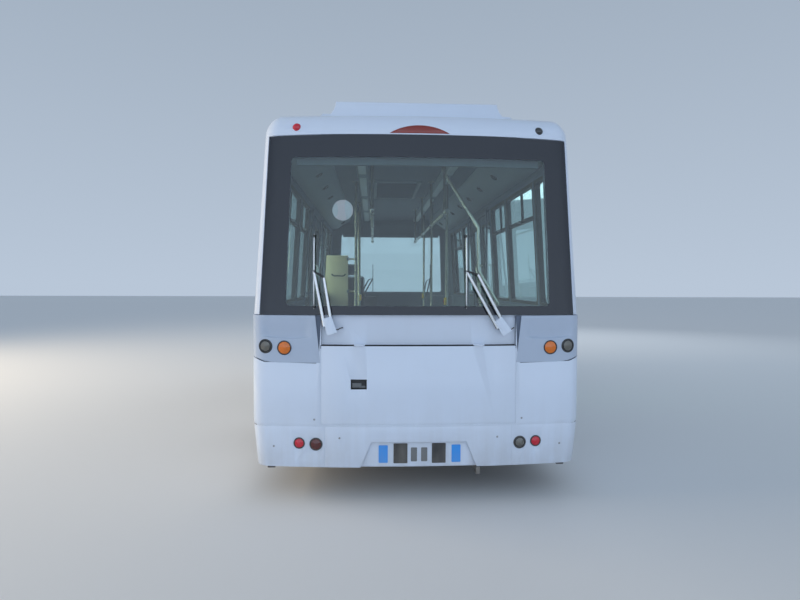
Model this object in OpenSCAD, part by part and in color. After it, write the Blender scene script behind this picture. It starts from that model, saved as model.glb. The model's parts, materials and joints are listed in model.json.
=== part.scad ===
// Short two-axle airport passenger bus, standing on its wheels.
// X runs across, with the kerb side door leaves at +X; Y runs along, with the rear face at -Y; Z is up.
// The origin is on the ground under the middle of the bus.

/* [Body] */
// Overall length
body_l = 7000; // [6900:10:7300]
// Width at the belt
body_w = 2550; // [2500:10:2600]
// Height of the skirt's lower edge
skirt_z = 255; // [250:5:270]
// Height at which the sides reach their full width
hip_z = 600; // [580:10:640]
// Height of the belt line under the glass
belt_z = 1407; // [1395:1:1420]
// Height of the top edge of the side walls
cant_z = 2770; // [2740:10:2800]
// Tuck of the skirt's lower edge on each side
skirt_in = 30; // [20:5:45]
// Step in at the belt on each side
belt_in = 6; // [4:1:16]
// Lean of each side from the belt to the roof
side_lean = 85; // [60:5:100]
// Lean of each windscreen from the belt to the roof
face_lean = 60; // [40:5:80]
// Bulge of each end in plan
face_bulge = 100; // [80:5:140]
// Radius of the upright corners
corner_r = 130; // [110:5:170]
// Radius of the roof's edges
roof_r = 180; // [150:5:200]
// Thickness of the walls and roof
wall_t = 60; // [50:5:70]
// Length of each end moulding
end_l = 400; // [380:10:420]
// Gap between panels
seam = 5; // [3:1:8]

/* [Ends] */
// Height of the bumper's top edge
bumper_z = 564; // [550:1:580]
// Seam between the bumper's middle and its corners, from the widest line
bumper_in = 564; // [554:1:585]
// Height of the lid's lower edge
lid_z0 = 585; // [580:1:600]
// Height of the lid's top edge
lid_z1 = 1176; // [1150:1:1185]
// Side edge of the lid, from the widest line
lid_in = 537; // [515:1:575]
// Set back of the wiper panel over the lid
wiper_in = 28; // [15:1:35]
// Height of the lamp pods' lower edge
pod_z = 1046; // [1020:1:1060]
// Glass thickness
glass_t = 8; // [6:1:10]
// Black border beside the clear part of the windscreen, from the widest line
border_in = 263; // [245:1:295]
// Lower edge of the clear part of the windscreen
daylight_z0 = 1474; // [1460:1:1500]
// Top edge of the clear part of the windscreen
daylight_z1 = 2600; // [2560:5:2620]
// Painted strip beside the windscreen glass at the belt, from the widest line
screen_in = 70; // [60:5:95]

/* [Side openings] */
// Place of the doors along the bus
door_y = 150; // [100:10:200]
// Clear length of each door opening
door_w = 1400; // [1300:10:1440]
// Height of the door leaf's lower edge
door_z0 = 410; // [405:5:440]
// Height of the door leaf's top edge
door_z1 = 2560; // [2500:10:2600]
// Lower edge of the side windows
side_glass_z0 = 1440; // [1430:5:1480]
// Top edge of the side windows
side_glass_z1 = 2600; // [2560:5:2640]
// Thickness of the door leaf
leaf_t = 42; // [36:1:48]

/* [Running gear] */
// Tyre radius
tyre_r = 383; // [375:1:390]
// Tyre width
tyre_w = 215; // [205:1:225]
// Wheel rim radius
rim_r = 222; // [215:1:230]
// Front overhang, from the front axle to the front face
front_over = 1550; // [1500:10:1600]
// Rear overhang, from the rear axle to the rear face
rear_over = 1850; // [1800:10:1900]
// Middle of the front tyres from the middle of the bus
front_x = 1045; // [1035:1:1055]
// Middle of each pair of rear tyres from the middle of the bus
rear_x = 935; // [925:1:940]
// Middle to middle of a pair of rear tyres
twin_gap = 248; // [245:1:255]
// Kingpin's place from the middle of the bus
king_x = 860; // [850:1:870]
// Kingpin radius
king_r = 22; // [18:1:26]
// Radius of the front wheel arches
front_arch_r = 505; // [500:5:520]
// Radius of the rear wheel arches
rear_arch_r = 455; // [440:5:470]

/* [Inside] */
// Height of the low floor
floor_z = 400; // [380:5:430]
// Thickness of the floor
floor_t = 50; // [40:5:60]
// Height of the raised floor over the rear axle
deck_z = 900; // [880:10:940]
// Height of the cover over the engine
cover_z = 1260; // [1240:10:1300]
// Radius of the handrails
rail_r = 17; // [14:1:20]

/* [Roof] */
// Height of the roof pod over the roof
pod_h = 150; // [130:5:170]
// Width of the roof pod's top
pod_w = 1300; // [1240:10:1340]
// Width of the roof pod's base
pod_base_w = 1520; // [1460:10:1560]
// Length of the roof pod
pod_l = 2900; // [2600:50:3100]

/* [Hidden] */
$fn = 64;
far = 9000;
half_l = body_l/2;
half_w = body_w/2;
bumper_x = half_w - bumper_in;
lid_x = half_w - lid_in;
daylight_x = half_w - border_in;
screen_x = half_w - screen_in;
roof_z = cant_z + roof_r;
pod_top_z = roof_z + pod_h;
side_end_y = half_l - end_l;
front_y = half_l - front_over;
rear_y = -half_l + rear_over;
corner_n = 6;
bulge_n = 12;
roof_n = 7;
touch = 0.3;
axle_z = tyre_r;
white = [0.86, 0.88, 0.92];
dark = [0.08, 0.08, 0.09];
steel = [0.45, 0.46, 0.48];
tint = [0.35, 0.5, 0.5, 0.4];

// Line of the rear end in plan, from left to right: a bulge with rounded corners.
// hw is the half width, he the half length in the middle, in the inset of the whole line.
function end_line(hw, he, in, r, sag) =
    let (big = (half_w*half_w + sag*sag)/(2*sag) - in, cr = max(r - in, 10),
         fx = hw - in - cr, phi = asin(fx/(big - cr)), cy = -(he - in) + big,
         fy = cy - (big - cr)*cos(phi))
    concat([for (i = [0:corner_n]) let (a = -90 + (90 - phi)*i/corner_n) [-fx + cr*sin(a), fy - cr*cos(a)]],
           [for (i = [1:bulge_n - 1]) let (a = -phi + 2*phi*i/bulge_n) [big*sin(a), cy - big*cos(a)]],
           [for (i = [0:corner_n]) let (a = phi + (90 - phi)*i/corner_n) [fx + cr*sin(a), fy - cr*cos(a)]]);

// Levels of the body's skin, inset by t: height, half width, half length, inset.
upper_w = half_w - belt_in;
upper_l = half_l - belt_in;
function low_levels(t) = [
    [skirt_z - (t > 0 ? 1 : 0), half_w - skirt_in, half_l - skirt_in/3, t],
    [hip_z, half_w, half_l, t], [belt_z, half_w, half_l, t]];
function high_levels(t) = concat(
    [[belt_z + 1, upper_w, upper_l, t]],
    [for (i = [0:roof_n]) let (a = 90*i/roof_n)
        [cant_z + (roof_r - t)*sin(a), upper_w - side_lean, upper_l - face_lean,
         t + (roof_r - t)*(1 - cos(a))]]);

// Closed solid through a ring of points at each level.
module loft(rings) {
    n = len(rings[0]);
    m = len(rings);
    polyhedron(
        points = [for (ring = rings) each ring],
        faces = concat(
            [[for (i = [0:n - 1]) i]],
            [for (k = [0:m - 2]) for (i = [0:n - 1])
                [k*n + i, (k + 1)*n + i, (k + 1)*n + (i + 1)%n, k*n + (i + 1)%n]],
            [[for (i = [n - 1:-1:0]) (m - 1)*n + i]]));
}
// Rear end of the body's skin through some of its levels, cut off square inside the bus.
module end_skin(t, rows) {
    loft([for (v = rows) concat(
        [for (p = end_line(v[1], v[2], v[3], corner_r, face_bulge)) [p[0], p[1], v[0]]],
        [[v[1] - v[3], -side_end_y + 200, v[0]], [-v[1] + v[3], -side_end_y + 200, v[0]]])]);
}
module skin(t) {
    end_skin(t, concat(low_levels(t), high_levels(t)));
}
module low_skin(t) {
    end_skin(t, low_levels(t));
}
module screen_skin(t) {
    v = high_levels(t);
    end_skin(t, [v[0], v[1]]);
}
module shell(t0, t1) {
    difference() {
        skin(t0);
        skin(t1);
    }
}
module low_shell(t0, t1) {
    difference() {
        low_skin(t0);
        low_skin(t1 + 0.001);
    }
}
// The straight part of the body: its section across, inset by t, between two places along it.
module section(t) {
    rows = concat(low_levels(t), high_levels(t));
    n = len(rows);
    polygon(concat([for (v = rows) [v[1] - v[3], v[0]]],
                   [for (i = [n - 1:-1:0]) [-rows[i][1] + rows[i][3], rows[i][0]]]));
}
module tube(t, y0 = -side_end_y, y1 = side_end_y) {
    translate([0, y1, 0]) rotate([90, 0, 0]) linear_extrude(y1 - y0) section(t);
}
module side_shell(t0, t1) {
    difference() {
        tube(t0);
        tube(t1, -far, far);
    }
}
// Box from one corner to the other.
module span(a, b) {
    translate(a) cube(b - a);
}
// Turns what is drawn at the rear end to the front end.
module at_end(e) {
    rotate([0, 0, e > 0 ? 180 : 0]) children();
}
module both_sides() {
    children();
    mirror([1, 0, 0]) children();
}

// Outline on the end's face, drawn in X and Z and reaching in from the face.
module face_prism(depth = 900) {
    translate([0, -half_l + depth, 0]) rotate([90, 0, 0]) linear_extrude(depth + 200) children();
}
// Windscreen outline: straight sides that lean in, and an arched top edge.
screen_top_x = screen_x - side_lean*0.78;
screen_top_z = cant_z - 14;
screen_arch = 14;
module screen_2d(in) {
    polygon(concat(
        [[-screen_x + in, belt_z + 1 + in*0.3], [screen_x - in, belt_z + 1 + in*0.3]],
        [for (i = [0:10]) let (u = 1 - i/5)
            [(screen_top_x - in)*u, screen_top_z - in + screen_arch*(1 - u*u)]]));
}
// Clear part of the windscreen.
module daylight_2d() {
    top_x = daylight_x - side_lean/2;
    polygon([[-daylight_x, daylight_z0], [daylight_x, daylight_z0],
             [top_x, daylight_z1], [-top_x, daylight_z1]]);
}
module pod_2d(in) {
    polygon([[lid_x + in, belt_z - in], [lid_x + 20 + in, pod_z + 22 + in], [lid_x + 40 + in, pod_z + in],
             [half_w*0.92, pod_z + 8 + in], [half_w + 60, pod_z + 62 + in], [half_w + 60, belt_z - in]]);
}
module lid_2d(in) {
    translate([-lid_x + in, lid_z0 + in]) square([2*(lid_x - in), lid_z1 - lid_z0 - 2*in]);
}
// Plate recess, open at its bottom.
plate_z = 450;
plate_x0 = 452;
plate_x1 = 362;
plate_in = 26;
module plate_2d() {
    polygon([[-plate_x0, skirt_z - 20], [plate_x0, skirt_z - 20], [plate_x1, plate_z], [-plate_x1, plate_z]]);
}

// Round lamps on each end: half place across, height, lens radius, kind at the rear left, at the rear right,
// at the front. Kinds: 0 none, 1 red, 2 amber, 3 clear.
lamps = [
    [half_w - 115, 1170, 46, 3, 3, 3], [half_w - 259, 1160, 46, 2, 2, 2],
    [half_w - 370, 438, 34, 1, 1, 2], [half_w - 497, 432, 40, 1, 3, 3]];
ring_w = 9;
// Half length of the body's skin at a place across and a height.
function skin_y(x, z, in = 0) =
    let (big = (half_w*half_w + face_bulge*face_bulge)/(2*face_bulge),
         tuck = z < hip_z ? skirt_in/3*(hip_z - z)/(hip_z - skirt_z) : 0,
         lean = z > belt_z ? belt_in + face_lean*(z - belt_z)/(cant_z - belt_z) : 0)
    half_l - tuck - lean - in - (big - sqrt(big*big - x*x));
lamp_in = 30;
// Turn of a lamp's axis in plan, square to the bulge, and more in the corner.
corner_turn = 8;
function lamp_turn(x) = asin(x/((half_w*half_w + face_bulge*face_bulge)/(2*face_bulge)))
    + (abs(x) > half_w - corner_r ? sign(x)*corner_turn : 0);
corner_drop = 6;
function lamp_y(x, z) = skin_y(x, z) - (x > half_w - corner_r ? corner_drop : 0);
module at_lamp(x, z) {
    translate([x, -lamp_y(abs(x), z), z]) rotate([90, 0, lamp_turn(x)]) children();
}
module lamp_holes(r_add = 0) {
    for (v = lamps) for (s = [-1, 1])
        at_lamp(s*v[0], v[1]) translate([0, 0, -lamp_in - 20]) cylinder(h = 120, r = v[2] + ring_w + r_add);
}
module lens(r) {
    translate([0, 0, -lamp_in]) cylinder(h = lamp_in + 2, r = r);
    translate([0, 0, 2]) intersection() {
        translate([0, 0, 10 - 2*r]) sphere(r = 2*r);
        cylinder(h = 12, r = r);
    }
}
module lamp_set(kind) {
    for (v = lamps) {
        if (v[3] == kind) at_lamp(-v[0], v[1]) lens(v[2]);
        if (v[4] == kind) at_lamp(v[0], v[1]) lens(v[2]);
        if (v[5] == kind) at_end(1) for (s = [-1, 1]) at_lamp(s*v[0], v[1]) lens(v[2]);
    }
}

// Lamps on the roof's edge at each upper corner.
marker_x = half_w - 348;
marker_z = cant_z + 52;
marker_in = 82;
marker_r = 36;
module at_marker(s) {
    translate([s*marker_x, -half_l + belt_in + face_lean + marker_in, marker_z])
        rotate([64, 0, s*14]) children();
}
module marker() {
    intersection() {
        sphere(r = marker_r);
        translate([0, 0, marker_r - 20]) cube([100, 100, 40], center = true);
    }
}
high_lamp_w = 453;
high_lamp_h = 64;
high_lamp_z = cant_z + 8;
module high_lamp_2d() {
    r = (high_lamp_w*high_lamp_w/4 + high_lamp_h*high_lamp_h)/(2*high_lamp_h);
    intersection() {
        translate([0, high_lamp_z + high_lamp_h - r]) circle(r = r, $fn = 180);
        translate([-high_lamp_w/2, high_lamp_z]) square([high_lamp_w, high_lamp_h]);
    }
}

// Lid hinges: middle across, half length of the eye, pin radius and eye radius, then the axis.
lid_hinge_x = 450;
eye_half = 30;
pin_r = 5;
lid_eye_r = 8;
lid_axis_y = -half_l + 6;
lid_axis_z = lid_z1 + 8;
// The face of one end: the moulding round the windscreen, the lower panels and the wiper panel.
module face() {
    difference() {
        intersection() {
            shell(0, wall_t);
            span([-far, -far, bumper_z + seam], [far, -side_end_y, far]);
        }
        // Seat of the windscreen, sunk by the glass.
        difference() {
            intersection() {
                face_prism() screen_2d(-seam);
                span([-far, -far, belt_z + 1.5], [far, 0, cant_z - 1]);
            }
            screen_skin(glass_t + touch);
        }
        face_prism() daylight_2d();
        face_prism() lid_2d(-seam);
        both_sides() difference() {
            face_prism() pod_2d(-2);
            low_skin(34);
        }
        // Wiper panel, sunk.
        difference() {
            span([-lid_x, -far, lid_z1 + seam], [lid_x, -side_end_y, belt_z - 0.5]);
            low_skin(wiper_in);
        }
        intersection() {
            face_prism() high_lamp_2d();
            difference() {
                span([-far, -far, cant_z - 100], [far, 0, far]);
                skin(14);
            }
        }
        lamp_holes(touch);
        for (s = [-1, 1]) at_marker(s) sphere(r = marker_r + touch);
    }
    // Ears and pins of the lid's hinges.
    for (s = [-1, 1]) translate([s*lid_hinge_x, 0, 0]) {
        for (k = [-1, 1]) span([k*(eye_half + 7) - 4, lid_axis_y - 6, lid_axis_z - 2],
                               [k*(eye_half + 7) + 4, lid_axis_y + 52, lid_axis_z + 7]);
        translate([0, lid_axis_y, lid_axis_z]) rotate([0, 90, 0])
            cylinder(h = 2*eye_half + 20, r = pin_r, center = true);
    }
}
module rear_face() {
    color(white) face();
}
module front_face() {
    color(white) at_end(1) face();
}

// Lamp pods: a moulding in each corner with a crease along it and a scoop over the crease.
crease_z = 1227;
scoop_r = 900;
module pod_pair() {
    both_sides() difference() {
        intersection() {
            low_shell(0, 34 - touch);
            face_prism() pod_2d(2);
            span([0, -far, 0], [far, -side_end_y + touch, far]);
        }
        translate([0, -half_l - scoop_r + 14, (crease_z + belt_z)/2 + 10]) rotate([0, 90, 6])
            cylinder(h = half_w - 195, r = scoop_r, $fn = 256);
        for (v = lamps) at_lamp(v[0], v[1]) translate([0, 0, -60])
            cylinder(h = 160, r = v[2] + ring_w + touch);
    }
}
module lamp_pods() {
    color(white) for (e = [-1, 1]) at_end(e) pod_pair();
}

module bumper() {
    difference() {
        intersection() {
            low_shell(0, wall_t);
            span([-far, -far, 0], [far, -side_end_y, bumper_z]);
        }
        difference() {
            face_prism() plate_2d();
            low_skin(plate_in);
        }
        for (s = [-1, 1]) translate([s*bumper_x, -half_l, 0]) cube([seam - 1, 900, 1400], center = true);
        lamp_holes(touch);
    }
}
module rear_bumper() {
    color(white) bumper();
}
module front_bumper() {
    color(white) at_end(1) bumper();
}

// Lid between the lamps, hinged along its top edge, with a sunk latch.
latch_x = -455;
latch_z = 888;
latch_w = 120;
latch_h = 75;
lid_t = 36;
module lid() {
    difference() {
        union() {
            intersection() {
                low_shell(0, lid_t);
                face_prism() lid_2d(0);
            }
            for (s = [-1, 1]) translate([s*lid_hinge_x, 0, 0]) {
                span([-eye_half, lid_axis_y + 2, lid_axis_z - 18],
                     [eye_half, lid_axis_y + 32, lid_axis_z + 2]);
                translate([0, lid_axis_y, lid_axis_z]) rotate([0, 90, 0])
                    cylinder(h = 2*eye_half, r = lid_eye_r, center = true);
            }
        }
        translate([latch_x, -half_l, latch_z]) cube([latch_w, 60, latch_h], center = true);
        translate([0, lid_axis_y, lid_axis_z]) rotate([0, 90, 0])
            cylinder(h = 3*lid_hinge_x, r = pin_r + 0.05, center = true);
    }
}
module rear_hatch() {
    color(white) lid();
}
module front_flap() {
    color(white) at_end(1) lid();
}

module screen() {
    intersection() {
        difference() {
            screen_skin(0);
            screen_skin(glass_t);
        }
        face_prism() screen_2d(0);
        span([-far, -far, belt_z + 2], [far, 0, cant_z - 1.5]);
    }
}
module rear_windscreen() {
    color(tint) screen();
}
module front_windscreen() {
    color(tint) at_end(1) screen();
}

// Windows along each side, as rear edge and front edge: three behind the door and three before it,
// split at shares of the length there.
post_w = 45;
jamb_w = 80;
window_y0 = -side_end_y + 60;
rear_span = door_y - door_w/2 - jamb_w - window_y0;
front_span = -window_y0 - (door_y + door_w/2 + jamb_w);
function panes(y0, l, a, b) = [[y0, y0 + a*l], [y0 + a*l + post_w, y0 + b*l], [y0 + b*l + post_w, y0 + l]];
windows = concat(panes(window_y0, rear_span, 0.216, 0.672),
                 panes(door_y + door_w/2 + jamb_w, front_span, 0.341, 0.791));
module side_windows_2d(in) {
    for (v = windows) translate([v[0] + in, side_glass_z0 + in])
        square([v[1] - v[0] - 2*in, side_glass_z1 - side_glass_z0 - 2*in]);
}
module side_prism() {
    rotate([90, 0, 90]) linear_extrude(far/4) children();
}
module arch(y, r) {
    translate([0, y, axle_z]) rotate([0, 90, 0]) cylinder(h = far/4, r = r, $fn = 96);
}
module side_wall() {
    difference() {
        intersection() {
            side_shell(0, wall_t);
            span([0, -side_end_y + touch, 0], [far, side_end_y - touch, cant_z - touch]);
        }
        side_prism() side_windows_2d(0);
        span([0, door_y - door_w/2, door_z0 - seam], [far, door_y + door_w/2, door_z1 + seam]);
        arch(front_y, front_arch_r);
        arch(rear_y, rear_arch_r);
        // Joints between the skirt panels: upright at the axles' bays, and one along the hip.
        intersection() {
            side_shell(-1, seam);
            union() {
                for (y = [rear_y - 640, rear_y + 640, front_y - 640, front_y + 640])
                    span([0, y - seam/2, 0], [far, y + seam/2, belt_z - 60]);
                span([0, -far, belt_z - 66], [far, far, belt_z - 60]);
            }
        }
    }
    // Bearing blocks over the door shafts.
    for (e = [-1, 1]) span([shaft_x - 24, shaft_y(e) - 24, door_z1 + seam + 6],
                           [shaft_x + 44, shaft_y(e) + 24, door_z1 + seam + 40]);
}
module side_wall_right() {
    color(white) side_wall();
}
module side_wall_left() {
    color(white) mirror([1, 0, 0]) side_wall();
}
module side_glass() {
    intersection() {
        side_shell(4, 4 + glass_t);
        side_prism() side_windows_2d(touch);
    }
}
module side_glass_right() {
    color(tint) side_glass();
}
module side_glass_left() {
    color(tint) mirror([1, 0, 0]) side_glass();
}

// Roof with a raised escape hatch.
roof_hatch_y = 1500;
roof_hatch_w = 760;
roof_hatch_h = 36;
module roof() {
    color(white) {
        intersection() {
            side_shell(0, wall_t);
            span([-far, -side_end_y + touch, cant_z], [far, side_end_y - touch, far]);
        }
        translate([0, roof_hatch_y, roof_z + roof_hatch_h/2 - 1])
            cube([roof_hatch_w, roof_hatch_w, roof_hatch_h + 2], center = true);
    }
}

// Door leaves: side (-1 left, 1 right) and end of the opening (-1 rear, 1 front).
leaf_gap = 6;
// Gap between the two leaves of a door, which their rubber noses fill: each swings in past the other's edge.
nose_gap = 44;
shaft_x = half_w - 162;
shaft_r = 14;
shaft_in = 36;
function shaft_y(e) = door_y + e*(door_w/2 - shaft_in);
leaf_glass_in = 62;
leaf_glass_z0 = 560;
leaf_glass_z1 = door_z1 - 110;
module leaf_region(e, in) {
    y0 = door_y + e*(door_w/2 - leaf_gap - in);
    y1 = door_y + e*(nose_gap/2 + in);
    span([0, min(y0, y1), door_z0 + in], [far, max(y0, y1), door_z1 - in]);
}
module leaf_window(e, in) {
    y0 = door_y + e*(door_w/2 - leaf_gap - leaf_glass_in - in);
    y1 = door_y + e*(nose_gap/2 + leaf_glass_in + in);
    span([0, min(y0, y1), leaf_glass_z0 + in], [far, max(y0, y1), leaf_glass_z1 - in]);
}
module door_leaf(e) {
    difference() {
        intersection() {
            side_shell(2, 2 + leaf_t);
            leaf_region(e, 0);
        }
        leaf_window(e, 0);
    }
    // Shaft and the arms that carry the leaf on it.
    translate([shaft_x, shaft_y(e), floor_z + touch])
        cylinder(h = door_z1 + seam + 6 - floor_z - 2*touch, r = shaft_r);
    for (z = [600, 1500, 2350]) intersection() {
        span([shaft_x, shaft_y(e) - 16, z], [far, shaft_y(e) + 16, z + 30]);
        tube(leaf_t);
    }
}
module door_glass(e) {
    intersection() {
        side_shell(6, 6 + glass_t);
        leaf_window(e, touch);
    }
}
module door_right_rear() { color(white) door_leaf(-1); }
module door_right_front() { color(white) door_leaf(1); }
module door_left_rear() { color(white) mirror([1, 0, 0]) door_leaf(-1); }
module door_left_front() { color(white) mirror([1, 0, 0]) door_leaf(1); }
module door_glass_right_rear() { color(tint) door_glass(-1); }
module door_glass_right_front() { color(tint) door_glass(1); }
module door_glass_left_rear() { color(tint) mirror([1, 0, 0]) door_glass(-1); }
module door_glass_left_front() { color(tint) mirror([1, 0, 0]) door_glass(1); }

// Roof pod: flared sides that sweep in to a flat top, and sloped ends.
pod_y0 = -half_l + 300;
module roof_pod() {
    flare = 70;
    base_z = roof_z + touch;
    rise = pod_top_z - base_z;
    flank = [for (i = [0:6]) let (a = 15*i)
        [pod_base_w/2 - (pod_base_w - pod_w)/2*sin(a), base_z + rise*(1 - cos(a))]];
    color(white) intersection() {
        translate([0, pod_y0 + pod_l, 0]) rotate([90, 0, 0]) linear_extrude(pod_l)
            polygon(concat(flank, [for (i = [6:-1:0]) [-flank[i][0], flank[i][1]]]));
        rotate([90, 0, 90]) translate([0, 0, -far/4]) linear_extrude(far/2)
            polygon([[pod_y0, base_z], [pod_y0 + pod_l, base_z], [pod_y0 + pod_l - flare, pod_top_z],
                     [pod_y0 + flare, pod_top_z]]);
    }
}

module red_lamps() {
    color([0.6, 0.05, 0.04]) {
        lamp_set(1);
        for (s = [-1, 1]) at_marker(s) marker();
        intersection() {
            shell(-3, 14 - touch);
            face_prism() high_lamp_2d();
        }
    }
}
module amber_lamps() {
    color([0.85, 0.35, 0.08]) {
        lamp_set(2);
        at_end(1) for (s = [-1, 1]) at_marker(s) marker();
    }
}
module clear_lamps() {
    color([0.75, 0.78, 0.78]) lamp_set(3);
}
module lamp_rings() {
    color(dark) for (e = [-1, 1]) at_end(e) for (v = lamps) for (s = [-1, 1]) at_lamp(s*v[0], v[1])
        translate([0, 0, -lamp_in]) difference() {
            cylinder(h = lamp_in + 5, r = v[2] + ring_w);
            translate([0, 0, -1]) cylinder(h = lamp_in + 7, r = v[2] + touch);
        }
}

// Wipers: place of the pivot across, height, and place of the blade's middle across and up.
wiper_z = 1308;
// The wiper panel's chords lie about 0.6 inside the true bulge, so the feet reach in 0.5 more.
wipers = [[-664, -791, 1735], [641, 352, 1739]];
blade_h = 560;
arm_w = 16;
// Bar from one point to another.
module bar(a, b, r, sides = 8) {
    d = b - a;
    l = norm(d);
    translate(a) rotate([0, acos(d[2]/l), atan2(d[1], d[0])]) cylinder(h = l, r = r, $fn = sides);
}
function off_face(x, z, gap) = [x, -skin_y(abs(x), z) - gap, z];
module wiper_pair() {
    for (v = wipers) {
        hub = off_face(v[0], wiper_z, 30);
        head = off_face(v[1], v[2], 34);
        translate(off_face(v[0], wiper_z, -wiper_in - 0.5))
            rotate([90, 0, (v[0] > 0 ? 1 : -1)*lamp_turn(abs(v[0]))]) cylinder(h = wiper_in + 44, r = 20);
        bar(hub, head, arm_w/2);
        bar(hub + [34, 0, 10], head + [22, 0, -60], 5);
        bar(hub, hub + [36, 0, 11], 7);
        bar(head, head + [23, 0, -63], 6);
        bar(off_face(v[1], v[2] - blade_h/2, 14), off_face(v[1], v[2] + blade_h/2, 14), 7);
        bar(off_face(v[1], v[2], 11), head - [0, 3, 0], 8);
    }
}
module rear_wipers() {
    color(steel) wiper_pair();
}
module front_wipers() {
    color(steel) at_end(1) wiper_pair();
}

// Low floor, and over it the boxes that the front wheels turn in.
box_in = 640;
box_half = 500;
box_t = 20;
deck_y = rear_y + 600;
cover_y = rear_y - 560;
nose_x = 940;
nose_y = half_l - 160;
box_top = axle_z + tyre_r + 110;
module floor() {
    color([0.3, 0.31, 0.33]) difference() {
        union() {
            intersection() {
                tube(wall_t + touch);
                span([-far, deck_y, floor_z - floor_t], [far, side_end_y, floor_z]);
            }
            span([-nose_x, side_end_y - 1, floor_z - floor_t], [nose_x, nose_y, floor_z]);
        }
        both_sides() span([box_in - touch, front_y - box_half - touch, 0],
                          [far, front_y + box_half + touch, far]);
    }
}
module wheel_boxes() {
    color([0.3, 0.31, 0.33]) intersection() {
        tube(wall_t + touch);
        both_sides() difference() {
            span([box_in, front_y - box_half, floor_z - floor_t], [far, front_y + box_half, box_top]);
            span([box_in + box_t, front_y - box_half + box_t, 0],
                 [2*far, front_y + box_half - box_t, box_top - box_t]);
        }
    }
}
module engine_cover() {
    deck_top = deck_z - floor_t;
    color([0.42, 0.43, 0.45]) {
        intersection() {
            tube(wall_t + touch);
            union() {
                span([-far, deck_y - floor_t, floor_z - floor_t], [far, deck_y - touch, deck_z]);
                span([-far, cover_y, deck_top], [far, deck_y - floor_t, deck_z]);
                span([-far, cover_y - floor_t, deck_top], [far, cover_y, cover_z]);
                span([-far, -side_end_y, cover_z - floor_t], [far, cover_y - floor_t, cover_z]);
            }
        }
        span([-nose_x, -nose_y, cover_z - floor_t], [nose_x, -side_end_y + 1, cover_z]);
    }
}

// Chassis: two low rails with cross members and outriggers, and the high rails over the rear axle.
rail_x = 420;
rail_w = 70;
frame_z0 = 275;
rear_rail_z = 560;
rear_rail_h = 130;
frame_end = half_l - 100;
low_top = floor_z - floor_t - touch;
riser_y = deck_y - 120;
member_w = 60;
// End of the rails, cut to the bulge of the bumper.
module rail_nose() {
    intersection() {
        low_skin(wall_t + touch);
        both_sides() span([rail_x, -half_l, frame_z0], [rail_x + rail_w, -frame_end + 1, low_top]);
    }
}
module chassis_frame() {
    color(dark) {
        both_sides() span([rail_x, riser_y + member_w, frame_z0], [rail_x + rail_w, frame_end, low_top]);
        at_end(1) rail_nose();
        // Jacking pads under the rails.
        both_sides() span([rail_x - 15, 540, frame_z0 - 12], [rail_x + rail_w + 15, 660, frame_z0 + 1]);
        for (y = concat([for (i = [0:3]) deck_y + 150 + 600*i], [front_y - 650, front_y + 650, half_l - 300]))
            span([-rail_x, y - member_w/2, frame_z0], [rail_x, y + member_w/2, low_top]);
        intersection() {
            tube(wall_t + touch);
            both_sides() for (y = [deck_y + 150, deck_y + 1350, front_y - 650, front_y + 650])
                span([rail_x + rail_w - 1, y - member_w/2, frame_z0 + 20], [far, y + member_w/2, low_top]);
        }
    }
}
module rear_frame() {
    rear_top = rear_rail_z + rear_rail_h;
    color(dark) {
        both_sides() {
            span([rail_x, riser_y, frame_z0], [rail_x + rail_w, riser_y + member_w, rear_top]);
            span([rail_x, -frame_end, rear_rail_z], [rail_x + rail_w, riser_y + member_w, rear_top]);
            span([rail_x, -frame_end, frame_z0], [rail_x + rail_w, -frame_end + 70, rear_rail_z]);
        }
        rail_nose();
        for (y = [-half_l + 200, riser_y + member_w/2])
            span([-rail_x, y - member_w/2, rear_rail_z], [rail_x, y + member_w/2, rear_top]);
    }
}
engine_y = -half_l + 260;
engine_l = 900;
engine_w = 660;
engine_z0 = 420;
engine_h = 640;
module engine() {
    color(steel) {
        span([-engine_w/2, engine_y, engine_z0], [engine_w/2, engine_y + engine_l, engine_z0 + engine_h]);
        both_sides() span([engine_w/2, engine_y + 240, rear_rail_z + 20],
                          [rail_x - touch, engine_y + 320, rear_rail_z + 80]);
    }
}

// Front axle: a dropped beam with a forked end for each kingpin.
king_h = 150;
ear_t = 26;
ear_r = 46;
beam_z0 = 205;
riser_x = 670;
module front_axle() {
    color(dark) difference() {
        union() {
            span([-riser_x - 50, front_y - 45, beam_z0], [riser_x + 50, front_y + 45, frame_z0 - touch]);
            both_sides() {
                span([riser_x, front_y - 45, beam_z0], [riser_x + 50, front_y + 45, axle_z + 40]);
                span([riser_x, front_y - 40, axle_z - 40], [king_x - 70, front_y + 40, axle_z + 40]);
                span([king_x - 110, front_y - 40, axle_z - king_h/2], [king_x - 64, front_y + 40,
                                                                      axle_z + king_h/2]);
                for (z = [axle_z - king_h/2, axle_z + king_h/2 - ear_t]) {
                    span([king_x - 80, front_y - 40, z], [king_x, front_y + 40, z + ear_t]);
                    translate([king_x, front_y, z]) cylinder(h = ear_t, r = ear_r);
                }
            }
        }
        both_sides() translate([king_x, front_y, 0]) cylinder(h = far, r = king_r + 0.05);
    }
}
// Knuckle: the boss on the kingpin with the stub axle that carries the wheel.
stub_r = 30;
module knuckle(s) {
    color(steel) translate([s*king_x, front_y, axle_z]) {
        cylinder(h = king_h + 30, r = king_r, center = true);
        cylinder(h = king_h - 2*ear_t - 2, r = 40, center = true);
        rotate([0, s*90, 0]) cylinder(h = front_x - king_x + 90, r = stub_r);
        rotate([0, s*90, 0]) translate([0, 0, 54]) cylinder(h = 28, r = 100);
        translate([-14, -170, -20]) cube([28, 150, 20]);
    }
}
module knuckle_left() { knuckle(-1); }
module knuckle_right() { knuckle(1); }

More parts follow.
